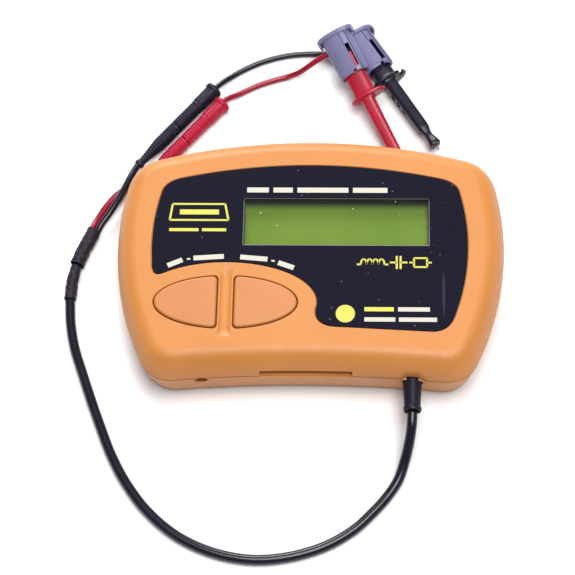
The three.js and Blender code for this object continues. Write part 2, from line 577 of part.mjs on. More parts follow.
function buildGrabberHead() {
  const outer = ovalLoft([
    [0, 5.2, 2.9], [0.4, 5.65, 3.3], [1.3, 5.65, 3.3], [1.7, 5.3, 3.1],
    [1.71, HEAD_HALF.width, HEAD_HALF.height], [GRABBER.head - 0.5, HEAD_HALF.width, HEAD_HALF.height],
    [GRABBER.head, HEAD_HALF.width - 0.2, HEAD_HALF.height - 0.2],
  ]);
  const hollow = ovalLoft([[3, 3.5, 2.15], [GRABBER.head + 1, 3.5, 2.15]]);
  const slot = box(HEAD_SLOT.start, HEAD_SLOT.end, HEAD_SLOT.side, HEAD_SLOT.far, 0.5, 5);
  return cut(toSolid(outer), hollow, slot);
}

function buildGrabberBarrel() {
  const upper = ovalLoft([[8.4, 3.1, 1.75], [GRABBER.flange + 0.3, 3.1, 1.75]]);
  const { halfWidth, halfHeight, offset } = FLANGE;
  const flange = ovalLoft([
    [GRABBER.flange, halfWidth - 0.25, halfHeight - 0.25], [GRABBER.flange + 0.3, halfWidth, halfHeight],
    [GRABBER.nozzle - 0.3, halfWidth, halfHeight], [GRABBER.nozzle, halfWidth - 0.25, halfHeight - 0.25],
  ], 16, 2.1).translate(0, offset, 0);
  const nozzle = ovalLoft([
    [GRABBER.nozzle - 0.2, 2, 2], [GRABBER.taper, 1.8, 1.8], [GRABBER.taper + 2.3, 1.15, 1.15],
    [GRABBER.tip - 0.7, 1.7, 1.7], [GRABBER.tip, 1.6, 1.6],
  ], 8, 2);
  const bore = ovalLoft([[8, GRABBER.boreR, GRABBER.boreR], [GRABBER.tip + 1, GRABBER.boreR, GRABBER.boreR]], 8, 2);
  return cut(join(toSolid(upper), flange, nozzle), bore);
}

function coil(startX, endX, turns, radius, wireR) {
  const perTurn = 8;
  const points = [];
  for (let i = 0; i <= turns * perTurn; i += 1) {
    const angle = (i / perTurn) * 2 * Math.PI;
    const along = startX + ((endX - startX) * i) / (turns * perTurn);
    points.push([along, radius * Math.cos(angle), radius * Math.sin(angle)]);
  }
  return tube(points, wireR, points.length - 1, 5);
}

// The hook is one wire: a straight shank held in the cap, and a claw that turns back just inside the tip.
function buildHook() {
  const stations = [{ x: HOOK.start, y: -HOOK.bendR, turn: 0 }];
  const bendSteps = 6;
  for (let i = 0; i <= bendSteps; i += 1) {
    const turn = (i / bendSteps) * Math.PI;
    stations.push({ x: HOOK.bendX + HOOK.bendR * Math.sin(turn), y: -HOOK.bendR * Math.cos(turn), turn });
  }
  stations.push({ x: HOOK.bendX - HOOK.claw, y: HOOK.bendR, turn: Math.PI });
  const sides = 6;
  const rings = stations.map(({ x, y, turn }) => Array.from({ length: sides }, (_, i) => {
    const angle = (i / sides) * 2 * Math.PI;
    const across = HOOK.wireR * Math.cos(angle);
    return new THREE.Vector3(
      x - across * Math.sin(turn), y + across * Math.cos(turn), HOOK.wireR * Math.sin(angle),
    );
  }));
  return loft(rings);
}

const GRABBERS = {
  red: { x: 5.48, y: 73.31, z: 10.2, toX: 0.4536, toY: -0.8912, down: 10.61, roll: 20, pressed: 0 },
  black: { x: 11.3, y: 77.2, z: 3.65, toX: 0.53, toY: -0.848, down: 0, roll: 0, pressed: 3 },
};
for (const [colour, place] of Object.entries(GRABBERS)) {
  const group = new THREE.Group();
  group.position.set(place.x, place.y, place.z);
  group.rotation.set(
    THREE.MathUtils.degToRad(place.roll), THREE.MathUtils.degToRad(place.down),
    Math.atan2(place.toY, place.toX), 'ZYX',
  );
  model.add(group);
  addMesh(`${colour}_grabber_head`, toGeometry(buildGrabberHead()), LOOKS.grey, group);
  const barrel = addMesh(`${colour}_grabber_barrel`, toGeometry(buildGrabberBarrel()), LOOKS[colour], group);
  barrel.position.x = -place.pressed;
  addMesh(`${colour}_grabber_hook`, buildHook(), LOOKS.steel, group);
  const spring = coil(3.6, 8 - place.pressed, 3, 1.35, 0.18);
  addMesh(`${colour}_grabber_spring`, spring, LOOKS.steel, group);
}

export default model;
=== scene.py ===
import json
import math

import bmesh
import bpy
from mathutils import Matrix, Vector, noise

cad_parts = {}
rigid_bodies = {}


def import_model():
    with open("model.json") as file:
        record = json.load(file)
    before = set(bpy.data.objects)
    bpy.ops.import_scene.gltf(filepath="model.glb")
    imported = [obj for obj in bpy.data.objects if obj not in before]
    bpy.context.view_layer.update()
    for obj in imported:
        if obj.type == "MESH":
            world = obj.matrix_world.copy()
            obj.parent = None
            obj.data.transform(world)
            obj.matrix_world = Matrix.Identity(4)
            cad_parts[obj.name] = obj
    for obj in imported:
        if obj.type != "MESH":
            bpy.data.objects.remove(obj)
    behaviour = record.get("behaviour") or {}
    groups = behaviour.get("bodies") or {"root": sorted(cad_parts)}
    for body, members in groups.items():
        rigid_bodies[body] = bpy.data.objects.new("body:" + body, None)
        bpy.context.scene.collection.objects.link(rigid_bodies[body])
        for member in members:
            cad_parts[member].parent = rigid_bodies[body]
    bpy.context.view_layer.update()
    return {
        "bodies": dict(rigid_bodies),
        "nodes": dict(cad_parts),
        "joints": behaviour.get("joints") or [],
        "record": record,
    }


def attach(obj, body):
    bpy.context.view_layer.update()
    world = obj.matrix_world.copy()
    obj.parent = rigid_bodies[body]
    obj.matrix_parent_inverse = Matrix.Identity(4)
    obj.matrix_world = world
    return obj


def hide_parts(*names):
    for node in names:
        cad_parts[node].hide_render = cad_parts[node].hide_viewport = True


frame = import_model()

# The looks of a handheld LCR meter: a two-part orange case with a dark label, a display and two press
# buttons, and a captive lead that splits into two plug-in wires with sprung hook grabbers.

MM = 0.001

# ---- Sizes, in millimetres, as in the CAD model ----
CASE_HEIGHT = 20.0
SEAM_Z = 12.6
HALF_WIDTH = 51.5
HALF_DEPTH = 35.0
BACK_ARC_R = 159.0
BACK_CORNER_R = 11.0
SIDE_ARC_R = 80.0
SIDE_WIDEST_Y = 4.5
FRONT_CORNER_R = 6.5
FRONT_SOFTENING = 2.2  # how much rounder the front corners look than the CAD model's
FRONT_ARC_R = 400.0
LABEL_FLOOR = 19.6
LABEL_TOP = 20.0
WINDOW = (6.95, 7.85)
WINDOW_HALF = (24.65, 7.05)
BUTTON_CENTRE = (-21.6, -15.65)
BUTTON_A = 18.9
BUTTON_B = 7.7
BUTTON_BAR = 4.0
BUTTON_TOP = 20.5
FRONT_WALL_Y = -33.5
RELIEF = (27.0, -42.0, 10.1)
RELIEF_HOLE_R = 2.8
CASE_SCREWS = ((-40, 20), (40, 20), (0, -26))
SLOT_CENTRE_X = -0.5
SLOT_HALF = 12.0

# ---- Camera ----
CAMERA_AZIMUTH = 5.33
CAMERA_ELEVATION = 64.3
CAMERA_ROLL = -4.5
CAMERA_DISTANCE = 497.7
CAMERA_TARGET = (-5.94, -6.72, 10.0)
CAMERA_LENS = 117.15


def make_camera():
    data = bpy.data.cameras.new("camera")
    data.lens = CAMERA_LENS
    data.sensor_width = 36.0
    data.clip_start = 0.01
    data.clip_end = 10.0
    camera = bpy.data.objects.new("camera", data)
    bpy.context.scene.collection.objects.link(camera)
    azimuth = math.radians(CAMERA_AZIMUTH)
    elevation = math.radians(CAMERA_ELEVATION)
    back = Vector((
        math.sin(azimuth) * math.cos(elevation),
        -math.cos(azimuth) * math.cos(elevation),
        math.sin(elevation),
    ))
    camera.location = (Vector(CAMERA_TARGET) + back * CAMERA_DISTANCE) * MM
    level = (-back).to_track_quat("-Z", "Y").to_matrix()
    roll = Matrix.Rotation(math.radians(CAMERA_ROLL), 3, back)
    camera.rotation_euler = (roll @ level).to_euler()
    bpy.context.scene.camera = camera


make_camera()


# ---- Materials ----
def srgb(r, g, b):
    def linear(value):
        value /= 255
        return value / 12.92 if value <= 0.04045 else ((value + 0.055) / 1.055) ** 2.4

    return (linear(r), linear(g), linear(b), 1.0)


def dimmed(colour, share):
    return (*(value * share for value in colour[:3]), 1.0)


class Nodes:
    """A short way to write a node tree around one Principled shader."""

    def __init__(self, name, roughness, metallic=0.0):
        self.material = bpy.data.materials.new(name)
        self.material.use_nodes = True
        self.tree = self.material.node_tree
        self.shader = self.tree.nodes["Principled BSDF"]
        self.shader.inputs["Roughness"].default_value = roughness
        self.shader.inputs["Metallic"].default_value = metallic
        self.place = self.tree.nodes.new("ShaderNodeTexCoord").outputs["Object"]

    def add(self, kind, inputs=None, **settings):
        node = self.tree.nodes.new(kind)
        for key, value in settings.items():
            setattr(node, key, value)
        for key, value in (inputs or {}).items():
            self.set(node.inputs[key], value)
        return node

    def set(self, socket, value):
        if isinstance(value, bpy.types.NodeSocket):
            self.tree.links.new(value, socket)
        else:
            socket.default_value = value

    def noise(self, scale, detail=2.0, rough=0.5, stretch=(1, 1, 1)):
        mapped = self.add("ShaderNodeMapping", {"Vector": self.place, "Scale": stretch})
        node = self.add(
            "ShaderNodeTexNoise",
            {"Vector": mapped.outputs[0], "Scale": scale, "Detail": detail, "Roughness": rough},
        )
        return node.outputs["Fac"]

    def cells(self, scale):
        node = self.add("ShaderNodeTexVoronoi", {"Vector": self.place, "Scale": scale})
        return node.outputs["Distance"]

    def bricks(self, scale, mortar, smooth=0.1, size=(0.5, 0.25), stagger=0.5):
        """1 in the mortar between bricks and 0 on them."""
        black = (0, 0, 0, 1)
        node = self.add(
            "ShaderNodeTexBrick",
            {
                "Vector": self.place, "Scale": scale, "Mortar Size": mortar, "Mortar Smooth": smooth,
                "Brick Width": size[0], "Row Height": size[1],
                "Color1": black, "Color2": black, "Mortar": (1, 1, 1, 1),
            },
            offset=stagger,
        )
        return node.outputs["Fac"]

    def span(self, value, low, high, to_low=0.0, to_high=1.0):
        node = self.add(
            "ShaderNodeMapRange",
            {"Value": value, "From Min": low, "From Max": high, "To Min": to_low, "To Max": to_high},
        )
        return node.outputs["Result"]

    def math(self, operation, a, b=0.0):
        node = self.add("ShaderNodeMath", {0: a, 1: b}, operation=operation)
        return node.outputs[0]

    def mix(self, amount, a, b):
        node = self.add("ShaderNodeMix", data_type="RGBA")
        self.set(node.inputs[0], amount)
        self.set(node.inputs[6], a)
        self.set(node.inputs[7], b)
        return node.outputs[2]

    def axis(self, which):
        return self.add("ShaderNodeSeparateXYZ", {"Vector": self.place}).outputs[which]

    def colour(self, value):
        self.set(self.shader.inputs["Base Color"], value)

    def rough(self, value):
        self.set(self.shader.inputs["Roughness"], value)

    def bump(self, height, strength, distance):
        before = self.shader.inputs["Normal"]
        inputs = {"Height": height, "Strength": strength, "Distance": distance}
        if before.is_linked:
            inputs["Normal"] = before.links[0].from_socket
        node = self.add("ShaderNodeBump", inputs)
        self.tree.links.new(node.outputs[0], before)

    def fixed(self, **sockets):
        for name, value in sockets.items():
            self.shader.inputs[name.replace("_", " ")].default_value = value


def moulded(name, base, shade, roughness, grain=2600.0, grain_depth=0.00003, specular=0.5):
    """Moulded plastic: two close colours, a fine spark-eroded grain and faint handling marks."""
    n = Nodes(name, roughness)
    cloudy = n.noise(55.0, 3.0)
    fine = n.noise(grain, 3.0, 0.6)
    marks = n.noise(900.0, 2.0, 0.6, stretch=(1, 0.15, 1))
    blend = n.span(cloudy, 0.3, 0.7)
    mixed = n.mix(blend, base, shade)
    speck = n.span(n.noise(1500.0, 1.0), 0.72, 0.8, 0.0, 0.25)
    n.colour(n.mix(speck, mixed, dimmed(shade, 0.55)))
    n.rough(n.span(n.math("ADD", fine, marks), 0.6, 1.4, roughness - 0.07, roughness + 0.1))
    n.bump(fine, 0.35, grain_depth)
    n.bump(cloudy, 0.12, 0.0002)
    n.fixed(Specular_IOR_Level=specular)
    return n


def case_plastic(name, base, shade):
    n = moulded(name, base, shade, 0.46)
    n.fixed(Subsurface_Weight=0.12, Subsurface_Scale=0.0012)
    n.shader.inputs["Subsurface Radius"].default_value = (1.0, 0.45, 0.2)
    return n.material


def rubber(name, base, shade, roughness):
    n = moulded(name, base, shade, roughness, grain=3500.0, grain_depth=0.00004, specular=0.22)
    dust = n.span(n.noise(700.0, 4.0, 0.7), 0.62, 0.75, 0.0, 0.18)
    previous = n.shader.inputs["Base Color"].links[0].from_socket
    n.colour(n.mix(dust, previous, (0.45, 0.43, 0.48, 1.0)))
    return n.material


def glossy_cord(name, base, shade, roughness):
    n = Nodes(name, roughness)
    along = n.noise(240.0, 3.0)
    fine = n.noise(4200.0, 2.0)
    n.colour(n.mix(n.span(along, 0.35, 0.65), base, shade))
    n.rough(n.span(fine, 0.3, 0.7, roughness - 0.05, roughness + 0.08))
    n.bump(along, 0.25, 0.0001)
    n.bump(fine, 0.15, 0.00002)
    n.fixed(Specular_IOR_Level=0.3, Coat_Weight=0.2, Coat_Roughness=0.2)
    return n.material


def metal(name, base, roughness):
    n = Nodes(name, roughness, 1.0)
    brushed = n.noise(900.0, 4.0, 0.6, stretch=(1, 1, 8))
    tarnish = n.noise(300.0, 4.0)
    n.colour(n.mix(n.span(tarnish, 0.45, 0.7), base, dimmed(base, 0.6)))
    n.rough(n.span(brushed, 0.3, 0.7, roughness - 0.08, roughness + 0.12))
    n.bump(brushed, 0.2, 0.00002)
    return n.material


def label_film():
    """Printed film: navy black with a fine toner grain, a little dust and a few hair scratches."""
    n = Nodes("label_film", 0.5)
    n.fixed(Specular_IOR_Level=0.08)
    grain = n.noise(2300.0, 2.0, 0.7)
    base = n.mix(n.span(grain, 0.4, 0.68), srgb(2, 2, 9), srgb(22, 19, 46))
    dust_size = n.span(n.cells(520.0), 0.045, 0.11, 1.0, 0.0)
    sparse = n.span(n.noise(260.0, 1.0), 0.56, 0.6)
    dust = n.math("MULTIPLY", dust_size, sparse)
    hair = n.span(n.noise(420.0, 1.0, 0.5, stretch=(1.0, 0.06, 1.0)), 0.76, 0.775, 0.0, 0.12)
    n.colour(n.mix(n.math("MAXIMUM", dust, hair), base, srgb(120, 116, 130)))
    n.rough(n.span(grain, 0.3, 0.7, 0.42, 0.6))
    n.bump(grain, 0.4, 0.00004)
    return n.material


def ink(name, colour):
    n = Nodes(name, 0.5)
    fade = n.span(n.noise(3000.0, 3.0, 0.7), 0.3, 0.75, 0.0, 0.25)
    n.colour(n.mix(fade, colour, dimmed(colour, 0.5)))
    n.bump(n.noise(2500.0), 0.2, 0.00002)
    return n.material


def film_edge():
    """The film's cut edge: pale, with painted shade darkening it along the back of the window."""
    n = Nodes("film_edge", 0.5)
    # Painted shade: the edge turns dark towards the back of the window, where the opening's wall lies in
    # shadow.
    back = n.span(n.axis("Y"), 0.0136, 0.0147)
    pale_edge = n.mix(n.span(n.noise(900.0, 3.0), 0.35, 0.65), srgb(112, 112, 118), srgb(92, 92, 98))
    n.colour(n.mix(back, pale_edge, srgb(16, 15, 22)))
    n.bump(n.noise(2500.0), 0.2, 0.00002)
    return n.material


def screen():
    """Reflective display: olive green with a faint cell grid, with painted shade from the frame along its
    back and side edges.
    """
    n = Nodes("screen_green", 0.32)
    cloudy = n.noise(60.0, 3.0)
    base = n.mix(n.span(cloudy, 0.3, 0.7), srgb(90, 118, 24), srgb(98, 126, 32))
    grid = n.bricks(1.0, 0.00022, smooth=0.6, size=(0.003, 0.0057), stagger=0.0)
    face = n.mix(n.math("MULTIPLY", grid, 0.05), base, srgb(116, 142, 50))
    # Painted shade: the screen darkens along its back and side edges, where the frame's shadow falls.
    back_shade = n.span(n.axis("Y"), 0.0128, 0.0150, 0.0, 0.94)
    across = n.math("ABSOLUTE", n.math("SUBTRACT", n.axis("X"), WINDOW[0] * MM))
    side_shade = n.span(across, 0.0239, 0.0246, 0.0, 0.75)
    n.colour(n.mix(n.math("MAXIMUM", back_shade, side_shade), face, srgb(14, 20, 12)))
    n.rough(n.span(n.noise(1800.0), 0.3, 0.7, 0.28, 0.4))
    n.fixed(Specular_IOR_Level=0.2)
    return n.material


def clear_pane():
    """Clear acrylic: mostly see-through, with opaque dust specks and fine scratches."""
    n = Nodes("window_clear", 0.06)
    specks = n.span(n.cells(300.0), 0.03, 0.055, 1.0, 0.0)
    sparse = n.span(n.noise(210.0, 1.0), 0.55, 0.58)
    scratch = n.span(n.noise(300.0, 1.0, 0.5, stretch=(0.05, 1.0, 1.0)), 0.76, 0.77, 0.0, 0.3)
    dust = n.math("MAXIMUM", n.math("MULTIPLY", specks, sparse), scratch)
    n.colour(n.mix(dust, srgb(205, 215, 205), srgb(245, 245, 240)))
    n.set(n.shader.inputs["Alpha"], n.math("MAXIMUM", n.math("MULTIPLY", dust, 0.85), 0.012))
    n.rough(n.span(dust, 0.0, 1.0, 0.05, 0.7))
    n.fixed(Specular_IOR_Level=0.15)
    return n.material


def circuit_board():
    n = Nodes("board_green", 0.35)
    weave = n.noise(1400.0, 3.0)
    tracks = n.bricks(260.0, 0.03)
    base = n.mix(n.span(weave, 0.3, 0.7), srgb(18, 84, 44), srgb(26, 104, 56))
    n.colour(n.mix(n.math("MULTIPLY", tracks, 0.5), base, srgb(44, 130, 74)))
    n.bump(tracks, 0.4, 0.00005)
    return n.material


ORANGE = case_plastic("case_orange", srgb(196, 127, 60), srgb(191, 122, 55))
CAP_ORANGE = case_plastic("button_orange", srgb(189, 122, 67), srgb(185, 117, 62))
LABEL = label_film()
SCREEN = screen()
CLEAR = clear_pane()
INK_YELLOW = ink("ink_yellow", srgb(200, 196, 74))
FILM_EDGE = film_edge()
INK_PALE = ink("ink_pale", srgb(196, 192, 178))
BLACK_RUBBER = rubber("black_rubber", srgb(20, 18, 32), srgb(28, 25, 42), 0.42)
BLACK_SHRINK = rubber("black_shrink", srgb(22, 17, 30), srgb(36, 29, 42), 0.5)
RED_RUBBER = rubber("red_rubber", srgb(170, 24, 58), srgb(156, 16, 48), 0.4)
BLACK_CORD = glossy_cord("black_cord", srgb(14, 9, 26), srgb(20, 14, 34), 0.25)
RED_CORD = glossy_cord("red_cord", srgb(142, 8, 40), srgb(128, 5, 34), 0.25)
BLACK_PLASTIC = moulded("black_plastic", srgb(17, 13, 29), srgb(24, 19, 37), 0.3, specular=0.3).material
RED_PLASTIC = moulded("red_plastic", srgb(166, 14, 46), srgb(152, 9, 39), 0.3).material
GREY_PLASTIC = moulded("grey_plastic", srgb(112, 111, 146), srgb(98, 97, 131), 0.3).material
STEEL = metal("steel", srgb(196, 198, 202), 0.32)
BOARD = circuit_board()
JACKET = moulded("battery_jacket", srgb(190, 150, 40), srgb(170, 130, 30), 0.3).material
PALE = moulded("pale_plastic", srgb(222, 220, 208), srgb(210, 208, 196), 0.5).material


# ---- Mesh helpers ----
def make_object(name, vertices, faces, material):
    mesh = bpy.data.meshes.new(name)
    mesh.from_pydata([tuple(v) for v in vertices], [], faces)
    mesh.validate()
    made = bpy.data.objects.new(name, mesh)
    bpy.context.scene.collection.objects.link(made)
    if material:
        mesh.materials.append(material)
    return made


def tidy_normals(mesh):
    work = bmesh.new()
    work.from_mesh(mesh)
    bmesh.ops.remove_doubles(work, verts=work.verts, dist=1e-5)
    bmesh.ops.recalc_face_normals(work, faces=work.faces)
    work.to_mesh(mesh)
    work.free()


def loft(name, rings, material=None, caps=(True, True)):
    """A skin through rings of points. Each ring has the same number of points."""
    count = len(rings[0])
    vertices = [p for ring in rings for p in ring]
    faces = []
    for r in range(len(rings) - 1):
        for i in range(count):
            j = (i + 1) % count
            a, b = r * count, (r + 1) * count
            faces.append((a + i, a + j, b + j, b + i))
    if caps[0]:
        faces.append(tuple(range(count))[::-1])
    if caps[1]:
        last = (len(rings) - 1) * count
        faces.append(tuple(range(last, last + count)))
    made = make_object(name, vertices, faces, material)
    tidy_normals(made.data)
    return made


def apply_modifiers(made):
    view = bpy.context.evaluated_depsgraph_get()
    mesh = bpy.data.meshes.new_from_object(made.evaluated_get(view))
    before = made.data
    made.modifiers.clear()
    made.data = mesh
    bpy.data.meshes.remove(before)


def combine(body, operation, tools):
    for tool in tools:
        modifier = body.modifiers.new("combine", "BOOLEAN")
        modifier.operation = operation
        modifier.solver = "EXACT"
        modifier.object = tool
        bpy.context.view_layer.update()
        apply_modifiers(body)
        mesh = tool.data
        bpy.data.objects.remove(tool)
        bpy.data.meshes.remove(mesh)
    return body


def cut(body, *tools):
    return combine(body, "DIFFERENCE", tools)


def join(body, *tools):
    return combine(body, "UNION", tools)


def commit(made, body, nodes=(), angle=32.0, place=None, weighted=True):
    """Moves a piece from millimetres to the row frame, shades it smooth and lets it ride its body."""
    if place is not None:
        made.data.transform(place)
    made.data.transform(Matrix.Scale(MM, 4))
    made.data.polygons.foreach_set("use_smooth", [True] * len(made.data.polygons))
    made.data.set_sharp_from_angle(angle=math.radians(angle))
    if weighted:
        modifier = made.modifiers.new("weighted", "WEIGHTED_NORMAL")
        modifier.keep_sharp = True
    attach(made, body)
    if nodes:
        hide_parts(*nodes)
    return made


def offset_loop(points, distance):
    """The loop moved outwards, for a loop that runs counterclockwise."""
    moved = []
    count = len(points)
    for i, (x, y) in enumerate(points):
        ax, ay = points[i - 1]
        bx, by = points[(i + 1) % count]
        dx, dy = bx - ax, by - ay
        size = math.hypot(dx, dy) or 1.0
        moved.append((x + dy / size * distance, y - dx / size * distance))
    return moved


def raise_loop(points, z):
    return [(x, y, z) for x, y in points]


def bezier(*controls, steps):
    """Points along a Bezier curve after its first one. Two controls give a straight line."""
    degree = len(controls) - 1
    points = []
    for i in range(1, steps + 1):
        t = i / steps
        weights = [math.comb(degree, k) * (1 - t) ** (degree - k) * t ** k for k in range(degree + 1)]
        points.append(tuple(sum(w * c[axis] for w, c in zip(weights, controls)) for axis in range(2)))
    return points


def rounded_box(centre, half, corner, steps=5):
    points = []
    for quarter, (sx, sy) in enumerate(((1, -1), (1, 1), (-1, 1), (-1, -1))):
        for i in range(steps + 1):
            angle = (quarter - 1 + i / steps) * math.pi / 2
            points.append((
                centre[0] + sx * (half[0] - corner) + corner * math.cos(angle),
                centre[1] + sy * (half[1] - corner) + corner * math.sin(angle),
            ))
    return points


def rounded_edge(loop, radius, top, steps, lean=-1):
    """Rings up a rounded edge, which leans inwards for lean = -1 and outwards for lean = 1."""
    rings = []
    for i in range(steps + 1):
        angle = i / steps * math.pi / 2
        moved = offset_loop(loop, lean * radius * (1 - math.cos(angle)))
        rings.append(raise_loop(moved, top - radius + radius * math.sin(angle)))
    return rings


def slab(name, loop, low, high):
    return loft(name, [raise_loop(loop, low), raise_loop(loop, high)])


def filleted_hole(name, loop, top, floor, fillet, steps=5):
    """A cutter whose upper edge flares, so that the hole it cuts has a rounded lip."""
    rings = [raise_loop(loop, floor), *rounded_edge(loop, fillet, top, steps, lean=1)]
    rings.append(raise_loop(offset_loop(loop, fillet + 0.1), top + 1.5))
    return loft(name, rings)


def domed_plate(name, loop, low, high, edge, material, steps=5, bottom_edge=0.0):
    """A plate with a rounded upper edge and, if asked, a small one below."""
    rings = []
    if bottom_edge:
        rings.append(raise_loop(offset_loop(loop, -bottom_edge), low))
        rings.append(raise_loop(loop, low + bottom_edge))
    else:
        rings.append(raise_loop(loop, low))
    return loft(name, rings + rounded_edge(loop, edge, high, steps), material)


def turned_rings(profile, sides):
    rings = []
    for along, radius in profile:
        angles = [2 * math.pi * i / sides for i in range(sides)]
        rings.append([(along, radius * math.cos(a), radius * math.sin(a)) for a in angles])
    return rings


def turned(name, profile, material, sides=48):
    """A turned piece about the X axis, from pairs of distance along and radius, closed on the axis."""
    open_profile = [(along, max(radius, 0.0005)) for along, radius in profile]
    return loft(name, turned_rings(open_profile, sides), material)


# ---- Case outline ----
def circles_meet(a, radius_a, b, radius_b):
    gap = (b - a).length
    along = (gap * gap + radius_a ** 2 - radius_b ** 2) / (2 * gap)
    off = math.sqrt(radius_a ** 2 - along ** 2)
    d = (b - a) / gap
    return a + d * along + Vector((d.y, -d.x)) * off


BACK_CIRCLE = Vector((0, HALF_DEPTH - BACK_ARC_R))
SIDE_CIRCLE = Vector((HALF_WIDTH - SIDE_ARC_R, SIDE_WIDEST_Y))
BACK_CORNER = circles_meet(
    BACK_CIRCLE, BACK_ARC_R - BACK_CORNER_R, SIDE_CIRCLE, SIDE_ARC_R - BACK_CORNER_R,
)
FRONT_CORNER = Vector((
    SIDE_CIRCLE.x + math.sqrt(
        (SIDE_ARC_R - FRONT_CORNER_R) ** 2 - (FRONT_CORNER_R - HALF_DEPTH - SIDE_WIDEST_Y) ** 2,
    ),
    FRONT_CORNER_R - HALF_DEPTH,
))
FRONT_CIRCLE = Vector((
    0, FRONT_CORNER.y - math.sqrt((FRONT_ARC_R + FRONT_CORNER_R) ** 2 - FRONT_CORNER.x ** 2),
))


def heading(a, b):
    return math.atan2(b.y - a.y, b.x - a.x)


def arc(centre, radius, start, end, steps):
    points = []
    for i in range(1, steps + 1):
        angle = start + (end - start) * i / steps
        points.append((centre.x + radius * math.cos(angle), centre.y + radius * math.sin(angle)))
    return points


def case_outline(inset, z):
    """Four kinds of arc, each tangent to the next. The front corners soften towards the top and bottom."""
    radius = FRONT_CORNER_R + FRONT_SOFTENING - inset * 0.6
    corner = circles_meet(
        FRONT_CIRCLE, FRONT_ARC_R + inset + radius, SIDE_CIRCLE, SIDE_ARC_R - inset - radius,
    )
    to_front = heading(FRONT_CIRCLE, corner)
    to_side = heading(SIDE_CIRCLE, corner)
    to_back = heading(SIDE_CIRCLE, BACK_CORNER)
    to_top = heading(BACK_CIRCLE, BACK_CORNER)
    half = [
        *arc(FRONT_CIRCLE, FRONT_ARC_R + inset, math.pi / 2, to_front, 60),
        *arc(corner, radius, to_front - math.pi, to_side, 14),
        *arc(SIDE_CIRCLE, SIDE_ARC_R - inset, to_side, to_back, 20),
        *arc(BACK_CORNER, BACK_CORNER_R - inset, to_back, to_top, 14),
        *arc(BACK_CIRCLE, BACK_ARC_R - inset, to_top, math.pi / 2, 30),
    ]
    front = (0, FRONT_CIRCLE.y + FRONT_ARC_R + inset)
    mirrored = [(-x, y) for x, y in half[:-1]][::-1]
    return raise_loop([front, *half, *mirrored], z)


# ---- Label and button outlines ----
def label_side(y):
    return 41.57 - (y - 1.65) ** 2 / 118


def label_back(x):
    return 24.83 - x * x / 300


def label_loop():
    """The printed film's edge, counterclockwise, bent round above the two buttons."""
    side_start = -19.0
    side_end = 17.2
    back_end = 34.6
    corner = (38.4, 19.9)
    side_heights = [side_start + (side_end - side_start) * i / 19 for i in range(20)]
    points = [(label_side(y), y) for y in side_heights]
    points += bezier(points[-1], corner, (back_end, label_back(back_end)), steps=10)
    back_places = [back_end * (1 - i / 18) for i in range(1, 37)]
    points += [(x, label_back(x)) for x in back_places]
    points += bezier(points[-1], (-corner[0], corner[1]), (-label_side(side_end), side_end), steps=10)
    points += [(-label_side(y), y) for y in (15, 12.5, 10, 8, 6, 4, 2, 0, -2, -4)]
    a, b = 23.8, 11.6
    start = math.acos(-16.6 / a)
    end = math.asin(-1.85 / b)
    on_oval = (BUTTON_CENTRE[0] + a * math.cos(start), BUTTON_CENTRE[1] + b * math.sin(start))
    points += bezier(points[-1], (-41.4, -8.8), on_oval, steps=8)
    for i in range(1, 41):
        angle = start + (end - start) * i / 40
        points.append((BUTTON_CENTRE[0] + a * math.cos(angle), BUTTON_CENTRE[1] + b * math.sin(angle)))
    points += bezier(points[-1], (1.4, -20.6), (3.6, -22.3), (7, -22.45), steps=10)
    points += bezier(points[-1], (32, -23.7), steps=12)
    points += bezier(points[-1], (label_side(-23), -23.8), (label_side(side_start), side_start), steps=10)
    return points[:-1]


def button_loop(side, grow, steps=44):
    """Half of the button oval, counterclockwise. side is -1 on the left and 1 on the right."""
    a = BUTTON_A + grow
    b = BUTTON_B + grow
    flat = BUTTON_BAR / 2 - grow
    corner = 1.3
    tilt = math.acos((flat + corner) / a)
    height = b * math.sin(tilt)
    rim = [
        (a * math.cos(-tilt + 2 * tilt * i / steps), b * math.sin(-tilt + 2 * tilt * i / steps))
        for i in range(steps + 1)
    ]
    points = rim + bezier(rim[-1], (flat, height), (flat, height - corner), steps=6)
    points += bezier(points[-1], (flat, corner - height), steps=10)
    points += bezier(points[-1], (flat, -height), rim[0], steps=6)[:-1]
    placed = [(BUTTON_CENTRE[0] + side * x, BUTTON_CENTRE[1] + y) for x, y in points]
    return placed if side > 0 else placed[::-1]


# ---- Case shells ----
TOP_SEAM = SEAM_Z + 0.15
BOTTOM_SEAM = SEAM_Z - 0.15
LIP_R = 0.22


def lip_levels(seam, up):
    """Pairs of inset and z round the small lip at the seam, upwards for up = 1 and downwards for up = -1."""
    angles = [math.pi / 6 * i for i in range(4)]
    return [(LIP_R * (1 - math.sin(a)), seam + up * LIP_R * (1 - math.cos(a))) for a in angles]


def top_levels():
    """From the seam up the drafted wall and over the edge."""
    levels = lip_levels(TOP_SEAM, 1)
    return levels + bezier(levels[-1], (0.5, 15.6), (2.15, CASE_HEIGHT), (6.0, CASE_HEIGHT), steps=26)


def bottom_levels():
    """From the seam down the drafted wall and round to the underside."""
    levels = lip_levels(BOTTOM_SEAM, -1)
    levels += bezier(levels[-1], (1.35, 4.4), steps=6)
    return levels + bezier(levels[-1], (1.7, 2.2), (2.5, 0.0), (4.7, 0.0), steps=14)


def press_dent(made):
    """A shallow dent in the front wall above the strain relief."""
    for vertex in made.data.vertices:
        x, y, z = vertex.co
        if y > -25 or z < TOP_SEAM - 0.1:
            continue
        across = math.exp(-((x - RELIEF[0]) / 2.3) ** 4)
        up = max(0.0, 1 - (z - TOP_SEAM) / 3.6)
        vertex.co.y += 0.75 * across * up * up * (3 - 2 * up)


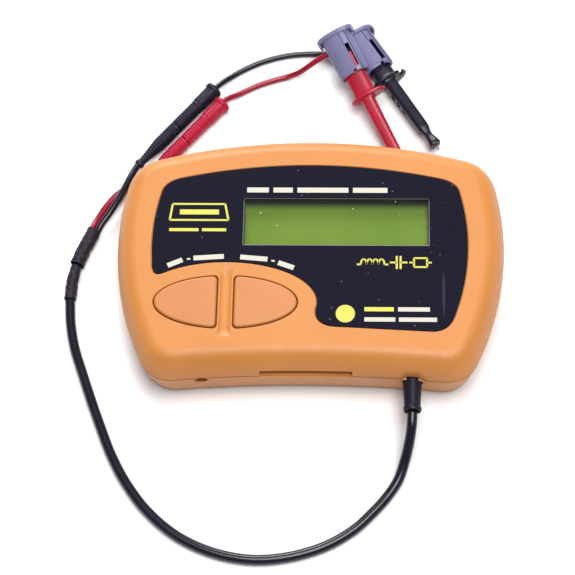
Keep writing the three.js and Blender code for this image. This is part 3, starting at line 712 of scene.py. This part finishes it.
def relief_hole():
    """A cutter for the hole that the strain relief fills, half in each shell."""
    hole = turned("relief_hole", [(-8, 0), (-8, RELIEF_HOLE_R), (8, RELIEF_HOLE_R), (8, 0)], None)
    turn = Matrix.Rotation(math.pi / 2, 4, "Z")
    hole.data.transform(Matrix.Translation((RELIEF[0], FRONT_WALL_Y, RELIEF[2])) @ turn)
    return hole


def build_top_shell():
    shell = loft("top_case", [case_outline(inset, z) for inset, z in top_levels()], ORANGE)
    press_dent(shell)
    inner_levels = ((2.0, TOP_SEAM - 1), (3.0, 15.5), (3.6, 17.2), (5.6, 18.0))
    inner = loft("inner", [case_outline(inset, z) for inset, z in inner_levels])
    recess = offset_loop(label_loop(), 0.16)
    label_hole = filleted_hole("label_hole", recess, CASE_HEIGHT, LABEL_FLOOR, 0.28)
    rim_hole = slab("rim_hole", rounded_box(WINDOW, (26.35, 8.75), 0.3), 15.0, 21.0)
    pane_pocket = slab("pane_pocket", rounded_box(WINDOW, (27.5, 9.9), 0.3), 18.75, 21.0)
    wells = [
        filleted_hole(f"well_{side}", button_loop(side, 0.0), CASE_HEIGHT, 15.0, 0.3, 6) for side in (-1, 1)
    ]
    slot_loop = rounded_box((SLOT_CENTRE_X, SEAM_Z + 0.8), (SLOT_HALF, 1.4), 0.25)
    slot = loft("slot", [[(x, y, z) for x, z in slot_loop] for y in (-36.5, -32.0)])
    cut(shell, inner, label_hole, rim_hole, pane_pocket, *wells, scoop(), slot, relief_hole())
    return commit(shell, "root", ["top_shell"], angle=38)


def scoop():
    """The dished bar between the buttons: a shallow valley that runs out at both ends."""
    rings = []
    steps = 30
    reach = BUTTON_B + 2.6
    for i in range(steps + 1):
        v = -reach + 2 * reach * i / steps
        run_out = min(1.0, (reach - abs(v)) / 2.6)
        depth = 0.7 * run_out * run_out * (3 - 2 * run_out) + 0.002
        half = BUTTON_BAR / 2 + 1.2 * (1 - run_out) - 0.45
        ring = [(BUTTON_CENTRE[0] + half, BUTTON_CENTRE[1] + v, CASE_HEIGHT + 1.0)]
        ring.append((BUTTON_CENTRE[0] - half, BUTTON_CENTRE[1] + v, CASE_HEIGHT + 1.0))
        for k in range(13):
            across = -1 + 2 * k / 12
            z = CASE_HEIGHT + 0.02 - depth * math.cos(across * math.pi / 2) ** 0.7
            ring.append((BUTTON_CENTRE[0] + across * half, BUTTON_CENTRE[1] + v, z))
        rings.append(ring)
    return loft("scoop", rings)


def build_bottom_shell():
    shell = loft("bottom_case", [case_outline(inset, z) for inset, z in bottom_levels()], ORANGE)
    inner_levels = ((4.6, 2.0), (3.4, 3.5), (2.0, BOTTOM_SEAM + 1))
    inner = loft("inner", [case_outline(inset, z) for inset, z in inner_levels])
    notch = turned("notch", [(-8, 0), (-8, 1.75), (8, 1.75), (8, 0)], None)
    turn = Matrix.Rotation(math.pi / 2, 4, "Z")
    notch.data.transform(Matrix.Translation((-27.7, -32.5, BOTTOM_SEAM - 1.5)) @ turn)
    ledge_loop = rounded_box((SLOT_CENTRE_X, -35.0), (SLOT_HALF, 2.0), 0.3)
    ledge = slab("ledge", ledge_loop, SEAM_Z - 0.75, SEAM_Z + 1.0)
    cut(shell, inner, notch, relief_hole(), ledge)
    boss_profile = [(1.0, 0), (1.0, 4.3), (4.7, 4.3), (4.7, 0)]
    well_profile = [(-1, 0), (-1, 3.5), (0.0, 3.1), (0.35, 2.8), (2.7, 2.8), (2.7, 1.7), (6, 1.7), (6, 0)]
    for x, y in CASE_SCREWS:
        boss = turned("boss", boss_profile, None, 32)
        well = turned("well", well_profile, None, 32)
        for tool in (boss, well):
            tool.data.transform(Matrix.Translation((x, y, 0)) @ Matrix.Rotation(-math.pi / 2, 4, "Y"))
        join(shell, boss)
        cut(shell, well)
    return commit(shell, "root", ["bottom_shell"], angle=38)


build_top_shell()
build_bottom_shell()


# ---- Label, window and marks ----
def build_label():
    film = domed_plate("label", label_loop(), LABEL_FLOOR + 0.05, LABEL_TOP, 0.1, LABEL, 3)
    hole = filleted_hole("hole", rounded_box(WINDOW, WINDOW_HALF, 0.35), LABEL_TOP, LABEL_FLOOR - 1, 0.1, 3)
    cut(film, hole)
    return commit(film, "root", ["front_label"])


def build_pane():
    half = (27.2, 9.6)
    pane = domed_plate("pane", rounded_box(WINDOW, half, 0.4), 18.8, 19.5, 0.15, CLEAR, 3, 0.1)
    return commit(pane, "root", ["display_window"])


def build_window_edge():
    """The film's cut edge round the opening, which shows as a thin pale line."""
    outer = rounded_box(WINDOW, (WINDOW_HALF[0] - 0.02, WINDOW_HALF[1] - 0.02), 0.35)
    inner = rounded_box(WINDOW, (WINDOW_HALF[0] - 0.2, WINDOW_HALF[1] - 0.2), 0.25)
    rings = [raise_loop(outer, 19.66), raise_loop(outer, 19.93)]
    rings += [raise_loop(inner, 19.86), raise_loop(inner, 19.66)]
    edge = loft("window_edge", [*rings, rings[0]], FILM_EDGE, caps=(False, False))
    return commit(edge, "root", weighted=False)


build_label()
build_pane()
build_window_edge()


# ---- Marks printed on the label ----
def bar_mark(a, b, width):
    """A printed dash from a to b."""
    start, end = Vector(a), Vector(b)
    along = (end - start).normalized() * width / 2
    side = Vector((-along.y, along.x))
    return [tuple(p) for p in (start - side, end - side, end + side, start + side)]


def disc_mark(centre, radius, sides=32):
    angles = [2 * math.pi * i / sides for i in range(sides)]
    return [(centre[0] + radius * math.cos(a), centre[1] + radius * math.sin(a)) for a in angles]


def path_marks(points, width):
    return [bar_mark(a, b, width) for a, b in zip(points, points[1:])]


def words(start, heading, lengths, height, gap=0.9):
    """A row of plain dashes, as long as words would be."""
    loops = []
    x, y = start
    cosine, sine = math.cos(math.radians(heading)), math.sin(math.radians(heading))
    for length in lengths:
        end = (x + cosine * length, y + sine * length)
        loops.append(bar_mark((x, y), end, height))
        x, y = end[0] + cosine * gap, end[1] + sine * gap
    return loops


def coil_mark(x, y, width):
    """The circuit symbol of a coil: four humps in a line."""
    radius = width / 8
    tall = radius * 2
    points = []
    for hump in range(4):
        centre = x + radius * (2 * hump + 1)
        points += [
            (centre - radius * math.cos(math.pi * i / 8), y + tall * math.sin(math.pi * i / 8))
            for i in range(8)
        ]
    return path_marks([(x - 1, y), *points, (x + width, y), (x + width + 1, y)], 0.5)


def capacitor_mark(x, y):
    marks = [bar_mark((x - 1.8, y), (x, y), 0.5), bar_mark((x + 1.0, y), (x + 2.8, y), 0.5)]
    return marks + [bar_mark((x + step, y - 1.9), (x + step, y + 1.9), 0.55) for step in (0, 1.0)]


def resistor_mark(x, y, width, height):
    low, high, end = y - height / 2, y + height / 2, x + width
    marks = path_marks([(x, low), (end, low), (end, high), (x, high), (x, low)], 0.5)
    return marks + [bar_mark((x - 1.2, y), (x, y), 0.5), bar_mark((end, y), (end + 1.2, y), 0.5)]


def build_marks():
    yellow = coil_mark(13.5, -4.7, 6.2)
    yellow += capacitor_mark(22.9, -4.1)
    yellow += resistor_mark(27.4, -4.1, 3.4, 2.6)
    yellow += path_marks([(-37.2, 8.2), (-36.6, 13.0), (-22.6, 13.0), (-21.6, 8.2), (-37.2, 8.2)], 0.55)
    yellow += [bar_mark((-34.6, 10.6), (-24.2, 10.6), 1.5)]
    yellow += words((-37.2, 5.3), 0, (7.8, 6.4), 0.9)
    yellow += [disc_mark((9.6, -18.9), 2.5)]
    yellow += words((14.5, -17.6), 0, (7.6,), 1.2)
    pale = words((23.2, -17.6), 0, (8.2,), 1.2)
    pale += words((14.5, -20.5), 0, (8.0, 9.8), 1.2)
    pale += words((-16.9, 17.3), 0, (5.8, 5.2, 13.6, 9.2), 1.5, 1.2)
    pale += words((-37.1, -5.3), 24, (4.2,), 1.4) + words((-32.1, -3.4), 6, (0.9,), 0.5)
    pale += words((-30.4, -3.1), 4, (8.0,), 1.4)
    pale += words((-18.1, -2.7), -5, (7.2,), 1.4) + words((-9.9, -3.7), -12, (0.9,), 0.5)
    pale += words((-8.1, -4.3), -20, (4.4,), 1.4)
    print_marks("marks_yellow", yellow, INK_YELLOW)
    print_marks("marks_pale", pale, INK_PALE)


def print_marks(name, loops, material):
    """One piece for all the marks of a colour, each a thin prism of ink on the label."""
    vertices = []
    faces = []
    for loop in loops:
        first, size = len(vertices), len(loop)
        vertices += raise_loop(loop, LABEL_TOP - 0.01) + raise_loop(loop, LABEL_TOP + 0.02)
        faces.append(tuple(range(first, first + size))[::-1])
        faces.append(tuple(range(first + size, first + 2 * size)))
        faces += [
            (first + i, first + (i + 1) % size, first + size + (i + 1) % size, first + size + i)
            for i in range(size)
        ]
    commit(make_object(name, vertices, faces, material), "root", weighted=False)


build_marks()


# ---- Buttons ----
def build_button(name, side):
    """A slightly crowned cap on a wider retainer that stays under the case."""
    loop = button_loop(side, -0.3)
    retainer = button_loop(side, 0.7)
    edge = 0.6
    crown = 0.1
    rings = [raise_loop(retainer, 17.0), raise_loop(retainer, 17.7), raise_loop(loop, 17.72)]
    rings += rounded_edge(loop, edge, BUTTON_TOP - crown, 7)
    inner = offset_loop(loop, -edge)
    middle_x = sum(x for x, _ in inner) / len(inner)
    middle_y = sum(y for _, y in inner) / len(inner)
    for share in (0.85, 0.6, 0.3, 0.02):
        rings.append([
            (middle_x + (x - middle_x) * share, middle_y + (y - middle_y) * share,
             BUTTON_TOP - crown * share * share)
            for x, y in inner
        ])
    cap = loft(f"cap_{name}", rings, CAP_ORANGE)
    return commit(cap, f"{name}_button", [f"button_{name}"], angle=40)


build_button("left", -1)
build_button("right", 1)


# ---- Captive lead ----
def smooth_path(points, per_span=8):
    """Catmull-Rom points through given ones."""
    anchors = [Vector(p) for p in points]
    ghost = [anchors[0] * 2 - anchors[1], *anchors, anchors[-1] * 2 - anchors[-2]]
    path = []
    for i in range(len(anchors) - 1):
        a, b, c, d = ghost[i:i + 4]
        for k in range(per_span):
            t = k / per_span
            path.append(0.5 * (
                2 * b + (c - a) * t + (2 * a - 5 * b + 4 * c - d) * t * t + (3 * b - a - 3 * c + d) * t ** 3
            ))
    path.append(anchors[-1])
    return path


def wire(name, points, radius, material, node):
    curve = bpy.data.curves.new(name, "CURVE")
    curve.dimensions = "3D"
    curve.bevel_depth = radius * MM
    curve.bevel_resolution = 7
    curve.use_fill_caps = True
    path = smooth_path(points)
    spline = curve.splines.new("POLY")
    spline.points.add(len(path) - 1)
    for point, place in zip(spline.points, path):
        point.co = (*(place * MM), 1.0)
    spline.use_smooth = True
    curve.materials.append(material)
    made = bpy.data.objects.new(name, curve)
    bpy.context.scene.collection.objects.link(made)
    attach(made, "root")
    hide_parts(node)
    return made


def sleeve(name, points, radius_at, material, node, bore=0.8):
    """A soft sleeve along a path, with rolled open ends. radius_at takes the share along and the angle."""
    mouth = 0.9
    path = smooth_path(points, 16)
    steps = len(path) - 1
    sides = 40
    frames = []
    for i, at in enumerate(path):
        ahead = (path[min(i + 1, steps)] - path[max(i - 1, 0)]).normalized()
        side = Vector((0, 0, 1)).cross(ahead).normalized()
        frames.append((at, side, ahead.cross(side), ahead))

    def ring(frame, share, scale, shift=0.0):
        at, side, up, ahead = frame
        points_round = []
        for k in range(sides):
            angle = 2 * math.pi * k / sides
            radius = radius_at(share, angle) * scale
            outward = side * math.cos(angle) + up * math.sin(angle)
            points_round.append(at + outward * radius + ahead * shift)
        return points_round

    rings = [ring(frames[0], 0, 0.02, mouth), ring(frames[0], 0, bore, mouth)]
    rings += [ring(frames[0], 0, bore, 0.06), ring(frames[0], 0, 0.93, 0.0)]
    rings += [ring(frames[i], i / steps, 1.0, 0.05 if i == 0 else 0) for i in range(steps)]
    rings += [ring(frames[steps], 1, 1.0, -0.05), ring(frames[steps], 1, 0.93, 0.0)]
    rings += [ring(frames[steps], 1, bore, -0.06), ring(frames[steps], 1, bore, -mouth)]
    rings.append(ring(frames[steps], 1, 0.02, -mouth))
    made = loft(name, rings, material)
    return commit(made, "root", [node], angle=50, weighted=False)


# Where each cord runs. On the floor, a cord's height is its own radius.
CABLE_ROUTE = [
    (27, -42.3, 10.1), (26.8, -45.5, 9.2), (26.2, -49.2, 6.6), (25.1, -53.2, 3.7), (23.5, -57.6, 1.9),
    (20.8, -61.8, 1.4), (17.1, -66.2, 1.4), (11.9, -71.2, 1.4), (4.5, -75.6, 1.4), (-4.5, -78.4, 1.4),
    (-14, -79.2, 1.4), (-23.8, -77.4, 1.4), (-33, -73.2, 1.4), (-40.8, -66.8, 1.4), (-46.8, -59.2, 1.4),
    (-51.2, -51.4, 1.4), (-54.6, -43.4, 1.4), (-57.6, -35.8, 1.4), (-60.4, -28.2, 1.4),
    (-62.9, -21.2, 1.4), (-64.5, -14.2, 1.5), (-65.2, -7.2, 1.8),
]
LOWER_SHRINK_ROUTE = [(-65.2, -6.9, 1.8), (-65.1, -3.6, 1.8), (-64.8, -0.4, 1.9), (-64.1, 3.2, 2.1)]
UPPER_SHRINK_ROUTE = [(-64, 3.5, 2.12), (-63, 6.6, 2.12), (-61.6, 10.2, 2.12), (-60, 14, 2.12)]
RED_LEAD_ROUTE = [
    (-64.1, 5.4, 2.05), (-63.5, 7.6, 2.0), (-62.8, 9.9, 1.9), (-61.8, 12.4, 1.8),
    (-60.6, 15.1, 1.6), (-60, 16.8, 1.25), (-59, 19, 1), (-57.5, 21.8, 0.97), (-55.7, 24.5, 0.97),
    (-53.8, 26.6, 0.97), (-51.8, 27.7, 1), (-49.9, 27.9, 1.3), (-48.2, 28.3, 1.95), (-46.8, 29.5, 2.5),
    (-45.9, 30.5, 2.55),
]
BLACK_LEAD_ROUTE = [
    (-62.6, 4.9, 2.2), (-61.9, 7.1, 2.2), (-61.0, 9.4, 2.2), (-60.0, 11.8, 2.2),
    (-58.8, 14.4, 2.2), (-57.9, 16.2, 2.55), (-56.3, 18.6, 2.85), (-54.8, 21.3, 3.05), (-53.4, 24.1, 3.1),
    (-52.2, 27, 3.1), (-51.1, 29.8, 3), (-50.1, 32.3, 2.75), (-49.25, 34.05, 2.6), (-48.65, 34.9, 2.55),
    (-48.1, 35.6, 2.55),
]
BLACK_PROBE_ROUTE = [
    (-28.75, 59.15, 2.55), (-28.2, 59.85, 2.5), (-26.9, 61.5, 2), (-24.6, 64, 1.15), (-21.6, 66.3, 0.83),
    (-18.3, 68.2, 0.82), (-14.9, 69.8, 0.82), (-11, 71.1, 0.82), (-7, 72, 0.82), (-2.8, 72.4, 0.82),
    (1.2, 72.4, 0.9), (4.4, 72.2, 1.5), (7, 72.2, 2.4), (7.9, 72.3, 2.8),
]
RED_PROBE_ROUTE = [
    (-26.3, 54.3, 2.55), (-26, 55.2, 2.5), (-24.4, 56.8, 1.9), (-21.8, 58.6, 1.1), (-18.8, 60.4, 0.85),
    (-15.2, 62.2, 0.84), (-11, 63.7, 0.86), (-7.6, 64.6, 1.1), (-4.6, 65, 2.5), (-2.1, 65.6, 4.5),
    (0.2, 66.4, 6.2), (1.9, 67.1, 7), (3.4, 67.7, 7.6), (4.4, 68.2, 7.9),
]
CABLE_R = 1.35
LEAD_R = 0.95
PROBE_R = 0.8


def build_relief():
    """A plain tapered bush with a small lip at its mouth."""
    profile = [
        (1.2, 0), (1.2, 1.5), (0.25, 1.62), (0.0, 1.8), (0.0, 2.1), (0.15, 2.28), (0.5, 2.36), (1.0, 2.34),
        (1.35, 2.18), (1.7, 2.12), (4, 2.24), (8, 2.5), (12.3, 2.55), (12.3, 3.8), (13.5, 3.8), (13.5, 0),
    ]
    bush = turned("bush", profile, BLACK_RUBBER)
    place = Matrix.Translation(RELIEF) @ Matrix.Rotation(math.pi / 2, 4, "Z")
    return commit(bush, "root", ["strain_relief"], place=place)


def wrinkled(radius, ripple, seed):
    """A radius with soft creases, for a sleeve shrunk over something uneven."""
    def radius_at(share, angle):
        around = Vector((math.cos(angle), math.sin(angle), 0)) * 1.2
        crease = noise.noise(around + Vector((0, seed, share * 5)))
        fold = noise.noise(around * 0.7 + Vector((seed, 3, share * 16)))
        return radius * (1 + ripple * (crease * 0.7 + fold * 0.6) - ripple * 0.7)

    return radius_at


lower_wrinkles = wrinkled(1.75, 0.12, 2.0)
upper_wrinkles = wrinkled(2.1, 0.12, 7.0)


def stepped_wrinkles(share, angle):
    """The lower sleeve narrows where it tucks under the upper one."""
    return lower_wrinkles(share, angle) * (1.0 if share < 0.8 else 0.9)


bush = build_relief()
lower_sleeve = sleeve(
    "sleeve_lower", LOWER_SHRINK_ROUTE, stepped_wrinkles, BLACK_SHRINK, "shrink_sleeve_lower",
)
upper_sleeve = sleeve(
    "sleeve_upper", UPPER_SHRINK_ROUTE, upper_wrinkles, BLACK_SHRINK, "shrink_sleeve_upper", bore=0.86,
)
cable = wire("cable", CABLE_ROUTE, CABLE_R, BLACK_CORD, "main_cable")
red_lead = wire("branch_red", RED_LEAD_ROUTE, LEAD_R, RED_CORD, "red_lead")
black_lead = wire("branch_black", BLACK_LEAD_ROUTE, LEAD_R, BLACK_CORD, "black_lead")
red_wire = wire("probe_wire_red", RED_PROBE_ROUTE, PROBE_R, RED_CORD, "red_probe_wire")
black_wire = wire(
    "probe_wire_black", BLACK_PROBE_ROUTE, PROBE_R, BLACK_CORD, "black_probe_wire",
)


# ---- Connectors ----
def lying(x, y, z, to_x, to_y, down=0.0, roll=0.0):
    """The place of a piece drawn along +X."""
    turn = Matrix.Rotation(math.atan2(to_y, to_x), 4, "Z")
    turn = turn @ Matrix.Rotation(math.radians(down), 4, "Y") @ Matrix.Rotation(math.radians(roll), 4, "X")
    return Matrix.Translation((x, y, z)) @ turn


def ribs(start, end, start_radius, end_radius, count, depth):
    """Fine moulded rings from one radius to another."""
    pairs = []
    pitch = (end - start) / count
    for i in range(count):
        at = start + pitch * i
        radius = start_radius + (end_radius - start_radius) * i / count
        pairs += [
            (at, radius - depth), (at + pitch * 0.2, radius - depth * 0.2), (at + pitch * 0.45, radius),
            (at + pitch * 0.7, radius - depth * 0.2), (at + pitch * 0.9, radius - depth),
        ]
    return pairs


def plug_profile():
    tail = [
        (1.2, 0), (1.2, 0.9), (0.1, 0.97), (0.0, 1.1), (0.12, 1.25), (0.4, 1.38), (0.8, 1.4), (1.15, 1.32),
        (1.45, 1.12), (1.8, 1.08), (2.3, 1.14),
    ]
    body = ribs(2.6, 8.6, 1.2, 1.93, 7, 0.13) + ribs(8.6, 15.2, 1.93, 1.95, 9, 0.15)
    return tail + body + [(15.4, 1.93), (15.9, 1.9), (16.05, 1.78), (16.05, 1.25), (9.5, 1.25), (9.5, 0)]


def socket_profile():
    body = [(16.35, 1.25), (16.35, 1.78), (16.5, 1.9), (16.9, 1.95)]
    body += ribs(17.2, 24.4, 1.95, 1.95, 9, 0.15)
    body += [(24.6, 1.95), (25.0, 1.95), (25.15, 1.88), (25.4, 1.9), (25.6, 2.08), (25.9, 2.1)]
    body += [(28.2, 2.1), (30.6, 2.1), (30.9, 2.16), (31.2, 2.42), (31.4, 2.5), (32.1, 2.5), (32.35, 2.38)]
    body += [(32.4, 2.2), (32.38, 1.6), (32.2, 0.95), (31.5, 0.85), (31.5, 0.02)]
    return body + [(26.6, 0.02), (26.6, 1.25), (16.35, 1.25)]


def ring_skin(name, profile, material, sides=56):
    """A turned piece whose profile is a closed loop off the axis."""
    return loft(name, turned_rings(profile, sides), material, caps=(False, False))


# Each plug's tail end and its heading.
CONNECTORS = {"black": (-49, 34.45, 2.55, 0.634, 0.773), "red": (-46.5, 29.8, 2.55, 0.636, 0.772)}
for shade, rubber_look in (("black", BLACK_RUBBER), ("red", RED_RUBBER)):
    spot = lying(*CONNECTORS[shade])
    slot_name = f"{shade}_rubber"
    plug = turned(f"plug_{shade}", plug_profile(), rubber_look, 56)
    commit(plug, "root", [f"{shade}_plug_sleeve"], place=spot, weighted=False)
    socket = ring_skin(f"socket_{shade}", socket_profile(), rubber_look)
    nodes = [f"{shade}_socket_sleeve"]
    commit(socket, "root", nodes, place=spot, weighted=False)


# ---- Hook grabbers ----
def oval(along, half_width, half_height, power=2.5, sides=56, shift=0.0):
    points = []
    for i in range(sides):
        angle = 2 * math.pi * i / sides
        c, s = math.cos(angle), math.sin(angle)
        y = half_width * math.copysign(abs(c) ** (2 / power), c)
        z = half_height * math.copysign(abs(s) ** (2 / power), s)
        points.append((along, y + shift, z))
    return points


def oval_loft(name, sections, material=None, power=2.5, sides=56, shift=0.0):
    return loft(name, [oval(*s, power=power, sides=sides, shift=shift) for s in sections], material)


def block(name, low_x, high_x, low_y, high_y, low_z, high_z):
    corners = ((low_y, low_z), (high_y, low_z), (high_y, high_z), (low_y, high_z))
    return loft(name, [[(x, y, z) for y, z in corners] for x in (low_x, high_x)])


def build_head(shade, place):
    """The thumb piece: a bent cap on an oval tube, with a slot, a groove beside it and a raised strip."""
    half_width, half_height = 4.4, 2.95
    head = oval_loft(f"head_{shade}", [
        (1.45, half_width, half_height), (6, half_width, half_height), (12, half_width, half_height),
        (13.5, half_width, half_height), (13.8, half_width - 0.06, half_height - 0.06),
        (14, half_width - 0.25, half_height - 0.25),
    ], GREY_PLASTIC)
    cap_sections = [
        (0, 4.9, 2.6), (0.08, 5.3, 2.95), (0.3, 5.55, 3.2), (0.55, 5.65, 3.3), (1.15, 5.65, 3.3),
        (1.4, 5.6, 3.25), (1.55, 5.4, 3.1),
    ]
    cap = oval_loft("cap", cap_sections)
    join(head, cap)
    lip_sections = [(1.2, 0.42, 1.9), (2.1, 0.42, 1.8), (2.45, 0.3, 1.6)]
    join(head, *[oval_loft("lip", lip_sections, shift=side * 5.1, power=3) for side in (-1, 1)])
    hollow = oval_loft("hollow", [(3, 3.5, 2.15), (17, 3.5, 2.15)])
    slot = block("slot", 5.2, 12.6, 1.4, 2.6, 0.5, 5)
    groove = block("groove", 1.7, 5.4, 1.18, 1.42, 2.45, 5)
    seam = block("seam", 12.4, 14.4, 1.22, 1.4, 2.55, 5)
    notch = block("notch", 13.2, 15, 0.35, 1.3, 1.0, 5)
    cut(head, hollow, slot, groove, seam, notch)
    ridge = oval_loft("ridge", [(1.5, 0.2, 0.24), (13.7, 0.2, 0.24)], shift=3.3, power=2, sides=12)
    ridge.data.transform(Matrix.Translation((0, 0, 2.52)))
    join(head, ridge)
    return commit(head, "root", [f"{shade}_grabber_head"], angle=35, place=place)


def build_barrel(shade, material, place):
    """The spring-loaded body: an oval upper part, a finger flange and a long nozzle with a flared tip."""
    barrel = oval_loft(f"barrel_{shade}", [
        (7.4, 2.9, 1.6), (7.6, 3.1, 1.75), (14, 3.1, 1.75), (19.6, 3.1, 1.75), (20.4, 3.3, 1.95),
        (21.2, 3.3, 1.95),
    ], material)
    flange = oval_loft("flange", [
        (20.8, 4.8, 2.5), (20.86, 5.05, 2.75), (21.05, 5.25, 2.95), (21.3, 5.3, 3.0), (21.55, 5.25, 2.95),
        (21.74, 5.05, 2.75), (21.8, 4.8, 2.5),
    ], power=2.1, shift=0.55)
    if shade == "black":
        cut(flange, block("notch", 20, 22.5, 3.3, 4.5, 0.4, 4))
    nozzle = oval_loft("nozzle", [
        (21.4, 2.5, 2.2), (22.1, 2.4, 2.1), (22.5, 1.88, 1.9), (30, 1.82, 1.84), (39.2, 1.72, 1.74),
        (40.2, 1.64, 1.66), (41.2, 1.3, 1.3), (42.0, 1.13, 1.13), (43.0, 1.13, 1.13), (44.3, 1.4, 1.4),
        (45.3, 1.62, 1.62), (45.9, 1.66, 1.66), (46.2, 1.52, 1.52),
    ], power=3.2)
    join(barrel, flange, nozzle)
    bore = oval_loft("bore", [(7, 0.85, 0.85), (47, 0.85, 0.85)], power=2, sides=24)
    ledges = [block("ledge", at, at + 1.5, -2.3, -1.55, -0.9, 0.9) for at in (26.2, 29.0, 31.8)]
    cut(barrel, bore, *ledges)
    return commit(barrel, f"{shade}_barrel", [f"{shade}_grabber_barrel"], angle=35, place=place)


# Each grabber's cap and heading, and how far its barrel is pressed in.
GRABBERS = {
    "red": (lying(5.48, 73.31, 10.2, 0.4536, -0.8912, 10.61, 20), 0.0),
    "black": (lying(11.3, 77.2, 3.65, 0.53, -0.848), 3.0),
}
for shade, grabber_look, slot_name in (
    ("red", RED_PLASTIC, "red_plastic"), ("black", BLACK_PLASTIC, "black_plastic"),
):
    spot, pressed = GRABBERS[shade]
    build_head(shade, spot)
    barrel_spot = spot @ Matrix.Translation((-pressed, 0, 0))
    build_barrel(shade, grabber_look, barrel_spot)


# ---- Floor and light ----
def make_floor():
    n = Nodes("floor", 0.9)
    blend = n.span(n.noise(12.0, 2.0), 0.3, 0.7)
    n.colour(n.mix(blend, (0.86, 0.86, 0.87, 1), (0.88, 0.88, 0.88, 1)))
    reach = 1500.0
    corners = [(-reach, -reach), (reach, -reach), (reach, reach), (-reach, reach)]
    floor = make_object("floor", raise_loop(corners, -0.05), [(0, 1, 2, 3)], n.material)
    floor.data.transform(Matrix.Scale(MM, 4))


def area_light(name, at, size, power):
    """A rectangular light at a place in metres, turned towards the object."""
    data = bpy.data.lights.new(name, "AREA")
    data.shape = "RECTANGLE"
    data.size, data.size_y = size
    data.energy = power
    light = bpy.data.objects.new(name, data)
    bpy.context.scene.collection.objects.link(light)
    light.location = at
    light.rotation_euler = (-Vector(at)).to_track_quat("-Z", "Y").to_euler()


make_floor()
world = bpy.data.worlds.new("world")
world.use_nodes = True
background = world.node_tree.nodes["Background"]
background.inputs["Color"].default_value = (0.95, 0.96, 1.0, 1.0)
background.inputs["Strength"].default_value = 0.3
bpy.context.scene.world = world
bpy.context.scene.view_settings.view_transform = "Standard"
area_light("overhead", (0.16, -0.12, 1.25), (0.7, 0.7), 17.5)
area_light("back", (-0.2, 1.1, 0.7), (0.6, 0.5), 14.0)


# ---- Looks of the CAD nodes that stay ----
NODE_SLOTS = {row["node"]: row["material_slot"] for row in frame["record"]["subparts"]}
SLOT_MATERIALS = {
    "case_orange": ORANGE, "button_orange": CAP_ORANGE, "label_film": LABEL, "window_clear": CLEAR,
    "screen_green": SCREEN, "black_plastic": BLACK_PLASTIC, "black_rubber": BLACK_RUBBER,
    "red_rubber": RED_RUBBER, "red_plastic": RED_PLASTIC, "grey_plastic": GREY_PLASTIC,
    "steel": STEEL, "board_green": BOARD, "battery_jacket": JACKET, "pale_plastic": PALE,
}
for node, carried in frame["nodes"].items():
    for material_slot in carried.material_slots:
        material_slot.link = "OBJECT"
        material_slot.material = SLOT_MATERIALS[NODE_SLOTS[node]]
